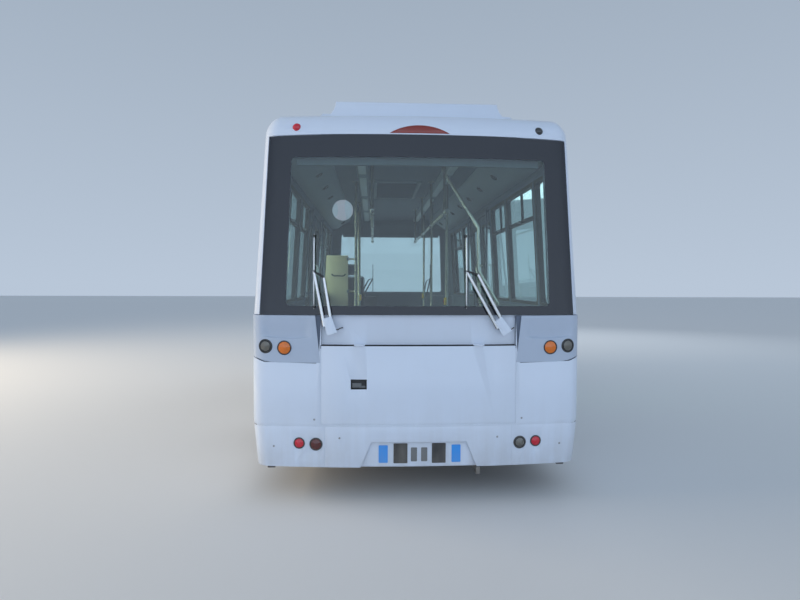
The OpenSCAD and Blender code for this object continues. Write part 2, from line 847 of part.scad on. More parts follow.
// Rear axle: one turned casing with the drive's bulge in its middle and a stub at each end.
casing_r = 60;
drive_r = 160;
shaft_rise = 80;
module rear_axle() {
    casing = rear_x - twin_gap/2 - 66;
    reach = rear_x + twin_gap/2 + 95;
    color(dark) translate([0, rear_y, axle_z]) {
        rotate([0, 90, 0]) rotate_extrude() polygon(concat(
            [[0, -reach], [stub_r, -reach], [stub_r, -casing], [casing_r, -casing]],
            [for (i = [1:9]) let (a = 18*i) [casing_r + (drive_r - casing_r)*sin(a), -220*cos(a)]],
            [[casing_r, casing], [stub_r, casing], [stub_r, reach], [0, reach]]));
        translate([0, 0, shaft_rise]) rotate([90, 0, 0]) cylinder(h = drive_r, r = 62);
        both_sides() span([rail_x + 6, -50, casing_r - 14],
                          [rail_x + rail_w - 6, 50, rear_rail_z - axle_z - touch]);
    }
}

// Wheel: rim, dish with round hand holes and a hub on the stub axle. It turns about X.
module wheel_disc(w, dish_x, out) {
    difference() {
        rotate([0, 90, 0]) difference() {
            union() {
                cylinder(h = w, r = rim_r, center = true);
                translate([0, 0, dish_x - out*60]) cylinder(h = 120, r = 76, center = true);
            }
            difference() {
                cylinder(h = w + 2, r = rim_r - 12, center = true);
                translate([0, 0, dish_x - 9]) cylinder(h = 18, r = rim_r);
                translate([0, 0, dish_x - out*60]) cylinder(h = 120, r = 76, center = true);
            }
        }
        for (i = [0:7]) rotate([45*i, 0, 0]) translate([0, 150, 0]) rotate([0, 90, 0])
            cylinder(h = far, r = 26, center = true, $fn = 32);
    }
}
module tyre_ring(w) {
    shoulder = 28;
    rotate([0, 90, 0]) rotate_extrude($fn = 96) polygon([
        [rim_r + touch, -w/2 + 22], [rim_r + 40, -w/2 + 4], [(rim_r + tyre_r)/2, -w/2],
        [tyre_r - shoulder*1.4, -w/2 + 6], [tyre_r - 8, -w/2 + shoulder], [tyre_r, -w/2 + shoulder + 16],
        [tyre_r, w/2 - shoulder - 16], [tyre_r - 8, w/2 - shoulder], [tyre_r - shoulder*1.4, w/2 - 6],
        [(rim_r + tyre_r)/2, w/2], [rim_r + 40, w/2 - 4], [rim_r + touch, w/2 - 22]]);
}
rim_w = tyre_w - 36;
module front_wheel(s) {
    color(steel) translate([s*front_x, front_y, axle_z]) difference() {
        wheel_disc(rim_w, s*48, s);
        rotate([0, 90, 0]) cylinder(h = far, r = stub_r + 0.05, center = true);
    }
}
module rear_wheel(s) {
    color(steel) difference() {
        union() {
            translate([s*(rear_x + twin_gap/2), rear_y, axle_z]) wheel_disc(rim_w, -s*60, -s);
            translate([s*(rear_x - twin_gap/2), rear_y, axle_z]) wheel_disc(rim_w, s*60, s);
            translate([s*rear_x, rear_y, axle_z]) rotate([0, 90, 0]) cylinder(h = 150, r = 90, center = true);
        }
        translate([s*rear_x, rear_y, axle_z]) rotate([0, 90, 0])
            cylinder(h = 800, r = stub_r + 0.05, center = true);
    }
}
module wheel_front_left() { front_wheel(-1); }
module wheel_front_right() { front_wheel(1); }
module wheel_rear_left() { rear_wheel(-1); }
module wheel_rear_right() { rear_wheel(1); }
module front_tyre(s) {
    color(dark) translate([s*front_x, front_y, axle_z]) tyre_ring(tyre_w);
}
module rear_tyres(s) {
    color(dark) for (k = [-1, 1]) translate([s*rear_x + k*twin_gap/2, rear_y, axle_z]) tyre_ring(tyre_w);
}
module tyre_front_left() { front_tyre(-1); }
module tyre_front_right() { front_tyre(1); }
module tyre_rear_left() { rear_tyres(-1); }
module tyre_rear_right() { rear_tyres(1); }

// Driver's place at the front left, on a step beside the wheel box.
driver_x = 555 - half_w;
dash_y = half_l - 440;
dash_x0 = 115 - half_w;
dash_x1 = 995 - half_w;
dash_z0 = 1250;
dash_z1 = 1385;
dial_cut = [420, 200, 90];
step_z = 700;
wheel_y = dash_y - 190;
seat_y = dash_y - 580;
wheel_z = 1430;
column_r = 25;
column_l = 620;
module at_column() {
    translate([driver_x, wheel_y, wheel_z]) rotate([30, 0, 0]) children();
}
module cab_step() {
    color([0.3, 0.31, 0.33]) span([dash_x0 + 40, front_y + box_half + touch, floor_z],
                                   [dash_x1, dash_y - touch, step_z]);
}
module dashboard() {
    color([0.16, 0.16, 0.18]) difference() {
        intersection() {
            at_end(1) low_skin(wall_t + touch);
            union() {
                span([dash_x0, dash_y, floor_z], [dash_x1, half_l, dash_z0]);
                span([dash_x0, dash_y - 60, dash_z0 - 70], [dash_x1, half_l, dash_z1]);
            }
        }
        translate([driver_x, dash_y - 100, dash_z1]) rotate([-25, 0, 0]) cube(dial_cut, center = true);
        at_column() translate([0, 0, -2*column_l]) cylinder(h = 2*column_l, r = column_r + touch);
    }
}
module steering_wheel() {
    color(dark) at_column() {
        rotate_extrude() translate([215, 0]) circle(r = 15, $fn = 24);
        for (a = [90, 210, 330]) rotate([0, 0, a]) translate([0, -14, -8]) cube([215, 28, 14]);
        translate([0, 0, -25]) cylinder(h = 40, r = 55);
        translate([0, 0, -column_l]) cylinder(h = column_l, r = column_r);
    }
}
// Driver's seat: pedestal, pan, back and head rest.
pan_w = 480;
pan_l = 440;
pan_z = 290;
pan_t = 130;
back_h = 690;
back_t = 120;
head_w = 260;
head_h = 210;
base_l = 260;
module driver_seat() {
    color([0.2, 0.24, 0.34]) translate([driver_x, seat_y, step_z]) {
        span([-pan_w/3, 20, 0], [pan_w/3, base_l, pan_z]);
        span([-pan_w/2, -40, pan_z], [pan_w/2, pan_l - 40, pan_z + pan_t]);
        translate([0, 0, pan_z + pan_t - 20]) rotate([10, 0, 0]) {
            span([-pan_w/2 + 15, -back_t/2, 0], [pan_w/2 - 15, back_t/2, back_h]);
            span([-head_w/2, -back_t/2 + 10, back_h - 10], [head_w/2, back_t/2 - 20, back_h + head_h]);
        }
    }
}
// Partition behind the driver, on the wheel box: a panel from the wall, a post and two rails between them.
part_y = front_y + 250;
panel_x = 485 - half_w;
panel_z = 2130;
post_x = 675 - half_w;
module cab_partition() {
    color([0.78, 0.7, 0.5]) {
        intersection() {
            tube(wall_t + touch);
            span([-half_w, part_y - 15, box_top + touch], [panel_x, part_y + 10, panel_z]);
        }
        translate([post_x, part_y, floor_z]) cylinder(h = ceiling_z - floor_z - touch, r = 22);
        for (z = [1080, 1500, panel_z - 60]) translate([panel_x - 1, part_y, z]) rotate([0, 90, 0])
            cylinder(h = post_x - panel_x, r = 14);
    }
}

// Handrails: posts, rails along the roof with their hangers, and a bent rail over the rear deck.
post_out = half_w - 715;
after_deck = 250;
after_door = 950;
by_cab = 350;
posts = [[-post_out, deck_y + after_deck], [post_out, deck_y + after_deck], [-post_out, front_y - after_door],
         [post_out, front_y - after_door], [post_out, front_y + by_cab]];
ceiling_z = roof_z - wall_t;
line_x = half_w - 915;
line_z = 2350;
line_y0 = -half_l + 1200;
line_y1 = front_y - 50;
bent_y = rear_y - 160;
bent_in = half_w - 895;
bent_mid = half_w - 515;
bent_out = half_w - 295;
bent = [[bent_in, ceiling_z - touch], [bent_in, ceiling_z - 60], [bent_mid, 2230], [bent_mid, 1790],
        [bent_out, 1420], [bent_out, deck_z]];
// Ring of points round one corner of the bent rail, in the plane that halves the bend.
function bent_ring(i) =
    let (d0 = bent[max(i, 1)] - bent[max(i, 1) - 1],
         d1 = bent[min(i + 1, len(bent) - 1)] - bent[min(i + 1, len(bent) - 1) - 1],
         m = d0/norm(d0) + d1/norm(d1), v = m/norm(m), wide = rail_r/(v*d1/norm(d1)))
    [for (k = [0:11]) [bent[i][0] - v[1]*wide*sin(30*k), bent_y + rail_r*cos(30*k),
                       bent[i][1] + v[0]*wide*sin(30*k)]];
module handrails() {
    color([0.75, 0.68, 0.45]) {
        for (p = posts) translate([p[0], p[1], floor_z])
            cylinder(h = ceiling_z - floor_z - touch, r = rail_r);
        both_sides() translate([line_x, line_y0, line_z]) rotate([-90, 0, 0])
            cylinder(h = line_y1 - line_y0, r = rail_r);
        both_sides() for (i = [0:3])
            translate([line_x, line_y0 + 200 + i*(line_y1 - line_y0 - 400)/3, line_z])
                cylinder(h = ceiling_z - line_z - touch, r = rail_r*0.8);
        loft([for (i = [0:len(bent) - 1]) bent_ring(i)]);
    }
}
// Side ducts along the ceiling, and two trunks for the lights between them.
duct_in = half_w - 515;
light_x = half_w - 810;
light_w = 130;
light_h = 65;
duct_l = 2*side_end_y - 200;
module ceiling_ducts() {
    color([0.8, 0.8, 0.78]) both_sides() {
        intersection() {
            tube(wall_t + touch);
            translate([0, duct_l/2, 0]) rotate([90, 0, 0]) linear_extrude(duct_l)
                polygon([[duct_in, far], [duct_in, ceiling_z - 10], [duct_in + 30, ceiling_z - 60],
                         [half_w - 255, ceiling_z - 210], [half_w + 25, ceiling_z - 240],
                         [half_w + 25, far]]);
        }
        translate([0, duct_l/2, 0]) rotate([90, 0, 0]) linear_extrude(duct_l)
            polygon([[light_x - light_w/2, ceiling_z - touch],
                     [light_x - light_w/2 + 20, ceiling_z - light_h],
                     [light_x + light_w/2 - 20, ceiling_z - light_h],
                     [light_x + light_w/2, ceiling_z - touch]]);
    }
}
// Moulded seats on the front wheel boxes, facing inwards: pan, back and the bend between them in one section.
seat_w = 345;
seat_t = 28;
seat_rise = 300;
seat_out = half_w - 185;
seat_in = half_w - 615;
module seat_section() {
    z = box_top + touch;
    polygon([[seat_in, z], [seat_in, z + 50], [seat_in + 30, z + 78],
             [seat_out - 80, z + 58], [seat_out - 40, z + 80],
             [seat_out - 10, z + seat_rise - 20], [seat_out + 6, z + seat_rise],
             [seat_out + seat_t + 4, z + seat_rise - 6], [seat_out + seat_t - 6, z + 60],
             [seat_out - 6, z + 12], [seat_out - 60, z]]);
}
module passenger_seats() {
    color([0.25, 0.35, 0.55]) both_sides() for (y = [front_y - 490, front_y - 135]) intersection() {
        tube(wall_t + touch);
        translate([0, y + seat_w, 0]) rotate([90, 0, 0]) linear_extrude(seat_w) seat_section();
    }
}

// Fuel tank on the right rail behind the rear wheels.
tank_l = 620;
tank_w = 520;
tank_h = 420;
tank_y = rear_y - rear_arch_r - 140 - tank_l;
tank_r = 60;
module rounded_2d(w, h, r) {
    translate([r, 0]) square([w - 2*r, h]);
    translate([0, r]) square([w, h - 2*r]);
    for (x = [r, w - r]) for (z = [r, h - r]) translate([x, z]) circle(r = r);
}
module fuel_tank() {
    color(dark) {
        translate([rail_x + rail_w + touch, tank_y + tank_l, 330]) rotate([90, 0, 0]) linear_extrude(tank_l)
            rounded_2d(tank_w, tank_h, tank_r);
        for (y = [tank_y + 110, tank_y + tank_l - 150])
            translate([rail_x + rail_w + touch, y + 40, 326]) rotate([90, 0, 0]) linear_extrude(40)
                difference() {
                    rounded_2d(tank_w + 4, tank_h + 8, tank_r + 4);
                    translate([4, 4]) square([4, 4]);
                }
    }
}
// Silencer under the left rail, with its pipe out to the rear.
silencer_r = 115;
silencer_l = 700;
silencer_x = -620;
silencer_z = 430;
module silencer() {
    y0 = tank_y + tank_l - silencer_l;
    color(steel) {
        translate([silencer_x, y0, silencer_z]) rotate([-90, 0, 0]) cylinder(h = silencer_l, r = silencer_r);
        bar([silencer_x, y0 + 1, silencer_z], [silencer_x, -half_l + 200, silencer_z - 100], 30, 24);
        for (y = [y0 + 120, y0 + silencer_l - 160])
            span([silencer_x - 20, y, silencer_z + silencer_r - 20], [-rail_x - rail_w - touch, y + 40,
                                                                     rear_rail_z + 60]);
    }
}
// Propeller shaft from the engine to the rear axle.
module propeller_shaft() {
    y0 = engine_y + engine_l + touch;
    y1 = rear_y - drive_r - touch;
    color(steel) translate([0, y0, axle_z + shaft_rise]) rotate([-90, 0, 0]) {
        cylinder(h = y1 - y0, r = 40);
        cylinder(h = 40, r = 62);
    }
}

// Mirrors on arms at the front corners.
module mirrors() {
    arm_z = 2500;
    head_w = 200;
    head_h = 380;
    head_z = 1930;
    head_x = half_w + 120;
    head_y = side_end_y + 100;
    color(dark) both_sides() {
        difference() {
            bar([half_w - 130, side_end_y - 100, arm_z], [head_x, head_y, arm_z - 20], 16);
            tube(-touch);
            at_end(1) skin(-touch);
        }
        bar([head_x, head_y, arm_z - 14], [head_x, head_y, 2250], 14);
        for (v = [[0, 45, 70], [15, 70, 26]])
            translate([head_x - head_w/2 + v[0], head_y + v[1], head_z + v[0]]) rotate([90, 0, 0])
                linear_extrude(v[2]) rounded_2d(head_w - 2*v[0], head_h - 2*v[0], 45);
    }
}
// Tow eyes on the rails' ends.
eye_r = 18;
eye_z = 220;
module tow_eyes() {
    color(dark) for (e = [-1, 1]) at_end(e) difference() {
        union() {
            span([rail_x + 20, -half_l + 30, eye_z - 28], [rail_x + 50, -half_l + 150, eye_z + 28]);
            span([rail_x + 22, -half_l + 104, eye_z], [rail_x + 48, -half_l + 146, frame_z0]);
        }
        translate([rail_x + 35, -half_l + 70, eye_z]) rotate([0, 90, 0])
            cylinder(h = 100, r = eye_r, center = true);
    }
}

floor();
wheel_boxes();
chassis_frame();
rear_frame();
engine_cover();
side_wall_left();
side_wall_right();
roof();
rear_face();
front_face();
lamp_pods();
rear_bumper();
front_bumper();
rear_hatch();
front_flap();
rear_windscreen();
front_windscreen();
side_glass_left();
side_glass_right();
door_left_rear();
door_left_front();
door_right_rear();
door_right_front();
door_glass_left_rear();
door_glass_left_front();
door_glass_right_rear();
door_glass_right_front();
roof_pod();
red_lamps();
amber_lamps();
clear_lamps();
lamp_rings();
rear_wipers();
front_wipers();
engine();
front_axle();
knuckle_left();
knuckle_right();
rear_axle();
wheel_front_left();
wheel_front_right();
wheel_rear_left();
wheel_rear_right();
tyre_front_left();
tyre_front_right();
tyre_rear_left();
tyre_rear_right();
cab_step();
dashboard();
steering_wheel();
driver_seat();
cab_partition();
handrails();
ceiling_ducts();
passenger_seats();
mirrors();
tow_eyes();
fuel_tank();
silencer();
propeller_shaft();
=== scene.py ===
"""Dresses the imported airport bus: paint, glass, lamps, wipers, tyres, trim and the inside."""
import json
import math

import bmesh
import bpy
from mathutils import Matrix, Vector


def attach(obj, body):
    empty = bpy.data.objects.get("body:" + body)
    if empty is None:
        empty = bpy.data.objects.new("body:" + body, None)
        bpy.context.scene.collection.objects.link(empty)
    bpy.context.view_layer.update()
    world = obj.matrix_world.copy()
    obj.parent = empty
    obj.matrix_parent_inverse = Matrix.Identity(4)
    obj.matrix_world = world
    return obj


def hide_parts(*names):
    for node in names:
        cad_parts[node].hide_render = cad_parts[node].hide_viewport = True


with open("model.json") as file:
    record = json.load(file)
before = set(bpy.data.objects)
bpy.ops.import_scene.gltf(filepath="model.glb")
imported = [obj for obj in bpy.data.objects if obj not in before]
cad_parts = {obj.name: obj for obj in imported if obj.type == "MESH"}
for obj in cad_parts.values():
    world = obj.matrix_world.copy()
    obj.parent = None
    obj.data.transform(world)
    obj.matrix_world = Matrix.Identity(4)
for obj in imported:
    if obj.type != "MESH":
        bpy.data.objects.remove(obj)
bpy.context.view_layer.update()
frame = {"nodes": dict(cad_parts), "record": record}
NODES = frame["nodes"]
BODY_OF = {node: body for body, nodes in frame["record"]["behaviour"]["bodies"].items() for node in nodes}
SCENE = bpy.context.scene

# Sizes of the bus, in metres, as its source gives them.
HALF_L, HALF_W = 3.5, 1.275
SKIRT_Z, HIP_Z, BELT_Z, CANT_Z = 0.255, 0.6, 1.407, 2.77
SKIRT_IN, BELT_IN, SIDE_LEAN, FACE_LEAN = 0.03, 0.006, 0.085, 0.06
BULGE, CORNER_R = 0.1, 0.13
ROOF_Z, ROOF_R, CEILING_Z, POD_TOP_Z = 2.95, 0.18, 2.89, 3.1
BIG_R = (HALF_W**2 + BULGE**2) / (2 * BULGE)
FLOOR_Z, STEP_Z = 0.4, 0.7
DOOR_Y, DOOR_W, DOOR_Z0, DOOR_Z1 = 0.15, 1.4, 0.41, 2.56
NOSE_GAP = 0.044
WINDOW_Z0, WINDOW_Z1 = 1.44, 2.6
AXLE_Z, TYRE_R, TYRE_W, RIM_R = 0.383, 0.383, 0.215, 0.222
FRONT_Y, REAR_Y, FRONT_X, REAR_X, TWIN_GAP = 1.95, -1.65, 1.045, 0.935, 0.248
SIDES = (("left", -1), ("right", 1))


def mm(text):
    """Points in metres from a text in millimetres, such as "0 5, 12 8"."""
    return [tuple(float(value) / 1000 for value in point.split()) for point in text.split(",")]


def at(x, y, z):
    """Moves a piece from the origin to a place."""
    return Matrix.Translation((x, y, z))


def turned(degrees, axis):
    """Turns a piece about an axis through the origin."""
    return Matrix.Rotation(math.radians(degrees), 4, axis)


def mirrored(sign):
    """Turns a piece made for the right side into the left one when the sign is -1."""
    return Matrix.Scale(sign, 4, (1, 0, 0))


def angles(count, steps=None):
    """Evenly spread angles of a full turn; with more steps than count they stop before it closes."""
    return [2 * math.pi * k / (steps or count) for k in range(count)]


# The front end is the rear end turned half round.
ENDS = (("rear", -1), ("front", 1))
BOTH_ENDS = [(end, turned(180 if sign > 0 else 0, "Z")) for end, sign in ENDS]


# Places on the skin.
def levels_at(z):
    """Half width and half length of the skin at a height, before any inset."""
    if z < HIP_Z:
        t = (HIP_Z - z) / (HIP_Z - SKIRT_Z)
        return HALF_W - SKIRT_IN * t, HALF_L - SKIRT_IN / 3 * t
    if z <= BELT_Z:
        return HALF_W, HALF_L
    t = min((z - BELT_Z) / (CANT_Z - BELT_Z), 1)
    return HALF_W - BELT_IN - SIDE_LEAN * t, HALF_L - BELT_IN - FACE_LEAN * t


def side_x(z):
    """Half width of the straight sides at a height."""
    return levels_at(z)[0]


def end_y(x, z, inset=0.0):
    """How far the end's skin reaches out at a place across and a height."""
    hw, he = levels_at(z)
    big = BIG_R - inset
    corner = max(CORNER_R - inset, 0.01)
    middle = hw - inset - corner
    phi = math.asin(middle / (big - corner))
    centre = he - inset - big
    x = min(abs(x), hw - inset)
    if x <= big * math.sin(phi):
        return centre + math.sqrt(big**2 - x**2)
    return centre + (big - corner) * math.cos(phi) + math.sqrt(max(corner**2 - (x - middle) ** 2, 0))


def sag(x):
    """How far the bulge of an end falls back at a place across."""
    return BIG_R - math.sqrt(BIG_R**2 - min(abs(x), HALF_W) ** 2)


def depth_in(point):
    """How deep a point lies under the body's skin."""
    x, y, z = abs(point[0]), abs(point[1]), point[2]
    if z > CANT_Z:
        half_w, half_l = levels_at(CANT_Z)
        across, along = max(x - half_w + ROOF_R, 0), max(y + sag(x) - half_l + ROOF_R, 0)
        return ROOF_R - math.sqrt(across**2 + along**2 + (z - CANT_Z) ** 2)
    side = side_x(z) - x
    return min(side, end_y(x, z) - y) if y > HALF_L - 0.4 else side


def rear_place(x, z, depth):
    """Place under the skin of the rear end."""
    return Vector((x, -end_y(x, z, depth), z))


def side_place(s):
    """Gives the function for a place under the skin of one side."""
    return lambda y, z, depth: Vector((s * (side_x(z) - depth), y, z))


# Shader groups.
def fill(tree, node, values):
    """Links or sets inputs of a node."""
    for socket, value in values.items():
        if isinstance(value, bpy.types.NodeSocket):
            tree.links.new(value, node.inputs[socket])
        else:
            node.inputs[socket].default_value = value


def wire(tree, kind, values=None, **settings):
    """A new node with its attributes set and its inputs linked or filled in."""
    node = tree.nodes.new(kind)
    for key, value in settings.items():
        setattr(node, key, value)
    fill(tree, node, values or {})
    return node


def shader_group(name, outputs, inputs):
    """A shader group; the kind of a socket follows from its name."""
    tree = bpy.data.node_groups.new(name, "ShaderNodeTree")
    for way, labels in (("INPUT", inputs), ("OUTPUT", outputs)):
        for label in labels:
            kind = "Color" if "Color" in label else "Vector" if label == "Normal" else "Float"
            socket = tree.interface.new_socket(label, in_out=way, socket_type="NodeSocket" + kind)
            if way == "INPUT":
                socket.default_value = inputs[label]
    place = wire(tree, "ShaderNodeTexCoord").outputs["Object"]
    return tree, tree.nodes.new("NodeGroupInput").outputs, tree.nodes.new("NodeGroupOutput"), place


def maths(tree, operation, a, b, clamp=False):
    return wire(tree, "ShaderNodeMath", {0: a, 1: b}, operation=operation, use_clamp=clamp).outputs[0]


def ramp(tree, value, low, high, to_low=0.0, to_high=1.0):
    return wire(tree, "ShaderNodeMapRange", {0: value, 1: low, 2: high, 3: to_low, 4: to_high}).outputs[0]


def blend_colors(tree, factor, a, b):
    return wire(tree, "ShaderNodeMix", {0: factor, 6: a, 7: b}, data_type="RGBA").outputs[2]


def noise(tree, place, scale, detail, **more):
    return wire(tree, "ShaderNodeTexNoise", {"Vector": place, "Scale": scale, "Detail": detail, **more}).outputs[0]


def build_road_dust():
    """Dust that gathers towards the ground, with faint streaks over it."""
    tree, given, out, place = shader_group(
        "road_dust", ("Color", "Roughness"),
        {"Color": (1, 1, 1, 1), "Dust Color": (0.36, 0.33, 0.29, 1), "Amount": 0.5, "Top": 1.2, "Bottom": 0.25,
         "Roughness": 0.3})
    low = ramp(tree, wire(tree, "ShaderNodeSeparateXYZ", {0: place}).outputs[2], given["Top"], given["Bottom"])
    cloud = noise(tree, place, 2.3, 6.0, Roughness=0.6)
    streaks = wire(tree, "ShaderNodeMapping", {"Vector": place, "Scale": (14.0, 14.0, 0.9)}).outputs[0]
    mixed = maths(tree, "ADD", maths(tree, "MULTIPLY", cloud, 0.6),
                  maths(tree, "MULTIPLY", noise(tree, streaks, 1.0, 4.0), 0.4))
    mask = maths(tree, "MULTIPLY", maths(tree, "ADD", maths(tree, "MULTIPLY", low, low), 0.07),
                 maths(tree, "MULTIPLY", ramp(tree, mixed, 0.35, 0.7), given["Amount"]), clamp=True)
    fill(tree, out, {"Color": blend_colors(tree, mask, given["Color"], given["Dust Color"]),
                     "Roughness": maths(tree, "ADD", given["Roughness"], maths(tree, "MULTIPLY", mask, 0.45),
                                        clamp=True)})
    return tree


def build_surface_grain():
    """Small bumps of a moulded or sprayed surface, with a little change in its gloss."""
    tree, given, out, place = shader_group(
        "surface_grain", ("Normal", "Roughness"),
        {"Scale": 300.0, "Height": 0.3, "Distance": 0.0005, "Roughness": 0.4, "Spread": 0.08})
    bump = wire(tree, "ShaderNodeBump", {"Strength": given["Height"], "Distance": given["Distance"],
                                         "Height": noise(tree, place, given["Scale"], 3.0)})
    shift = maths(tree, "MULTIPLY", maths(tree, "SUBTRACT", noise(tree, place, 3.1, 4.0), 0.5), given["Spread"])
    fill(tree, out, {"Normal": bump.outputs[0],
                     "Roughness": maths(tree, "ADD", given["Roughness"], shift, clamp=True)})
    return tree


def build_wear():
    """Patchy marks where a colour has rubbed off or darkened."""
    tree, given, out, place = shader_group(
        "rubbed_marks", ("Color",),
        {"Color": (1, 1, 1, 1), "Under Color": (0.3, 0.3, 0.3, 1), "Scale": 9.0, "Amount": 0.2})
    marks = ramp(tree, noise(tree, place, given["Scale"], 8.0, Roughness=0.72), 0.52, 0.68)
    mask = maths(tree, "MULTIPLY", marks, given["Amount"], clamp=True)
    fill(tree, out, {"Color": blend_colors(tree, mask, given["Color"], given["Under Color"])})
    return tree


def build_weave():
    """Plain weave of seat cloth: two crossed waves and a fleck."""
    tree, given, out, place = shader_group(
        "seat_weave", ("Color", "Normal"),
        {"Color": (0.1, 0.12, 0.2, 1), "Fleck Color": (0.3, 0.33, 0.42, 1), "Threads": 260.0})
    waves = [wire(tree, "ShaderNodeTexWave", {"Vector": place, "Scale": given["Threads"], "Distortion": 1.5},
                  wave_type="BANDS", bands_direction=axis).outputs["Fac"] for axis in ("X", "DIAGONAL")]
    mask = maths(tree, "MULTIPLY", ramp(tree, noise(tree, place, 70.0, 2.0), 0.56, 0.62), 0.6)
    bump = wire(tree, "ShaderNodeBump", {"Strength": 0.5, "Distance": 0.0008,
                                         "Height": maths(tree, "MULTIPLY", *waves)})
    fill(tree, out, {"Color": blend_colors(tree, mask, given["Color"], given["Fleck Color"]),
                     "Normal": bump.outputs[0]})
    return tree


DUST, GRAIN, WEAR, WEAVE = build_road_dust(), build_surface_grain(), build_wear(), build_weave()


def plain_material(name, color):
    material = bpy.data.materials.new(name)
    material.use_nodes = True
    material.diffuse_color = (*color, 1)
    return material, material.node_tree, material.node_tree.nodes["Principled BSDF"]


def worn(tree, color, under, scale, amount):
    return wire(tree, "ShaderNodeGroup", {"Color": (*color, 1), "Under Color": (*under, 1), "Scale": scale,
                                          "Amount": amount}, node_tree=WEAR).outputs["Color"]


def grained(tree, scale, height, rough, spread):
    return wire(tree, "ShaderNodeGroup", {"Scale": scale, "Height": height, "Roughness": rough, "Spread": spread},
                node_tree=GRAIN).outputs


def surface(name, color, rough, grain, height, dust, dust_top=1.0, metal=0.0, coat=0.0, under=None,
            wear=0.15, wear_scale=9.0, spread=0.1):
    """An opaque finish: its colour with rubbed marks and dust, its gloss and grain."""
    material, tree, shader = plain_material(name, color)
    skin = grained(tree, grain, height, rough, spread)
    marks = worn(tree, color, under or tuple(c * 0.6 for c in color), wear_scale, wear)
    dirt = wire(tree, "ShaderNodeGroup", {"Color": marks, "Roughness": skin["Roughness"], "Amount": dust,
                                          "Top": dust_top}, node_tree=DUST).outputs
    fill(tree, shader, {"Metallic": metal, "Base Color": dirt["Color"], "Roughness": dirt["Roughness"],
                        "Normal": skin["Normal"]})
    if coat:
        fill(tree, shader, {"Coat Weight": coat, "Coat Roughness": 0.06})
    return material


def see_through(name, color, weight, ior, coat, under, scale, amount, grain):
    """What clear glass and coloured lens plastic share."""
    material, tree, shader = plain_material(name, color)
    fill(tree, shader, {"Transmission Weight": weight, "IOR": ior, "Coat Weight": coat,
                        "Base Color": worn(tree, color, tuple(c * under for c in color), scale, amount),
                        "Roughness": grained(tree, *grain)["Roughness"]})
    return material, tree, shader


def clear_glass(name, tint):
    """Window glass that lets light from lamps through, tinted."""
    material, tree, shader = see_through(name, tint, 1.0, 1.45, 0.0, 0.86, 1.7, 0.35,
                                         (2.0, 0.0, 0.015, 0.02))
    clear = wire(tree, "ShaderNodeBsdfTransparent", {"Color": (*tint, 1)})
    path = wire(tree, "ShaderNodeLightPath")
    mix = wire(tree, "ShaderNodeMixShader", {0: path.outputs["Is Shadow Ray"], 1: shader.outputs[0],
                                             2: clear.outputs[0]})
    fill(tree, tree.nodes["Material Output"], {"Surface": mix.outputs[0]})
    return material


def lens_plastic(name, color, clear, rough=0.12):
    """Coloured lens plastic, with some light passing through."""
    return see_through(name, color, clear, 1.49, 0.5, 0.7, 30.0, 0.4, (60.0, 0.05, rough, 0.06))[0]


# Finishes: name, colour, roughness, scale and height of the grain, dust.
# Body white: the white paint with a bluish cast added as painted sky shade.
SKY_SHADED_WHITE = surface("body_white", (0.68, 0.75, 0.87), 0.3, 420, 0.05, 0.5, dust_top=0.95, coat=0.35,
                wear=0.1, wear_scale=2.2, under=(0.6, 0.63, 0.7), spread=0.12)
# Lamp pods: the body's white made darker and greyer all over as painted shade.
POD_SHADED_WHITE = surface("pod_grey_white", (0.46, 0.53, 0.65), 0.34, 420, 0.06, 0.4, dust_top=1.5, coat=0.3,
                    wear=0.12, wear_scale=3.0)
BLACK_BAND = surface("black_band", (0.012, 0.016, 0.026), 0.07, 30, 0.0, 0.06, dust_top=1.9, wear=0.2,
                     wear_scale=3.0, under=(0.016, 0.022, 0.034), spread=0.05)
GLASS = clear_glass("windscreen_tint", (0.74, 0.86, 0.86))
SIDE_GLASS = clear_glass("side_glass_tint", (0.56, 0.74, 0.72))
RUBBER = surface("seal_rubber", (0.022, 0.022, 0.024), 0.62, 500, 0.2, 0.55, dust_top=1.4)
CHASSIS = surface("chassis_black", (0.035, 0.035, 0.038), 0.55, 160, 0.4, 0.9, dust_top=1.3,
                  wear=0.5, under=(0.1, 0.075, 0.055), spread=0.2)
FLOOR = surface("floor_cover", (0.16, 0.17, 0.185), 0.65, 260, 0.5, 0.3, dust_top=1.2)
TYRE = surface("tyre_rubber", (0.02, 0.02, 0.021), 0.78, 140, 0.35, 0.8, dust_top=0.8, wear=0.5,
               under=(0.045, 0.043, 0.04), wear_scale=14)
WHEEL = surface("wheel_silver", (0.42, 0.43, 0.45), 0.38, 220, 0.1, 0.7, dust_top=0.75, metal=0.55,
                wear=0.45, under=(0.16, 0.15, 0.14), wear_scale=16)
STEEL = surface("steel_plain", (0.36, 0.37, 0.39), 0.42, 240, 0.15, 0.6, metal=0.9, wear=0.4,
                under=(0.18, 0.15, 0.13), wear_scale=20)
IRON = surface("engine_iron", (0.17, 0.18, 0.19), 0.6, 90, 0.6, 0.8, dust_top=1.4, metal=0.5)
WIPER = surface("wiper_satin", (0.72, 0.74, 0.76), 0.26, 260, 0.05, 0.2, metal=0.7, wear=0.3,
                under=(0.25, 0.25, 0.26), wear_scale=30)
BLACK_PLASTIC = surface("black_plastic", (0.03, 0.031, 0.034), 0.48, 420, 0.35, 0.3)
DASH = surface("dash_plastic", (0.055, 0.057, 0.062), 0.6, 380, 0.6, 0.15)
SHELL = surface("seat_shell", (0.1, 0.16, 0.31), 0.4, 300, 0.25, 0.15)
# Inside lining: a grey made dark and bluish as painted shade inside the bus.
SHADED_LINING = surface("lining_grey", (0.115, 0.145, 0.205), 0.6, 240, 0.3, 0.1)
HEADER = surface("header_pale", (0.13, 0.16, 0.18), 0.5, 200, 0.1, 0.0)
GLOW = surface("light_diffuser", (0.62, 0.68, 0.7), 0.35, 90, 0.1, 0.0, coat=0.2)
YELLOW = surface("step_yellow", (0.75, 0.5, 0.03), 0.55, 150, 0.5, 0.4, dust_top=1.2)
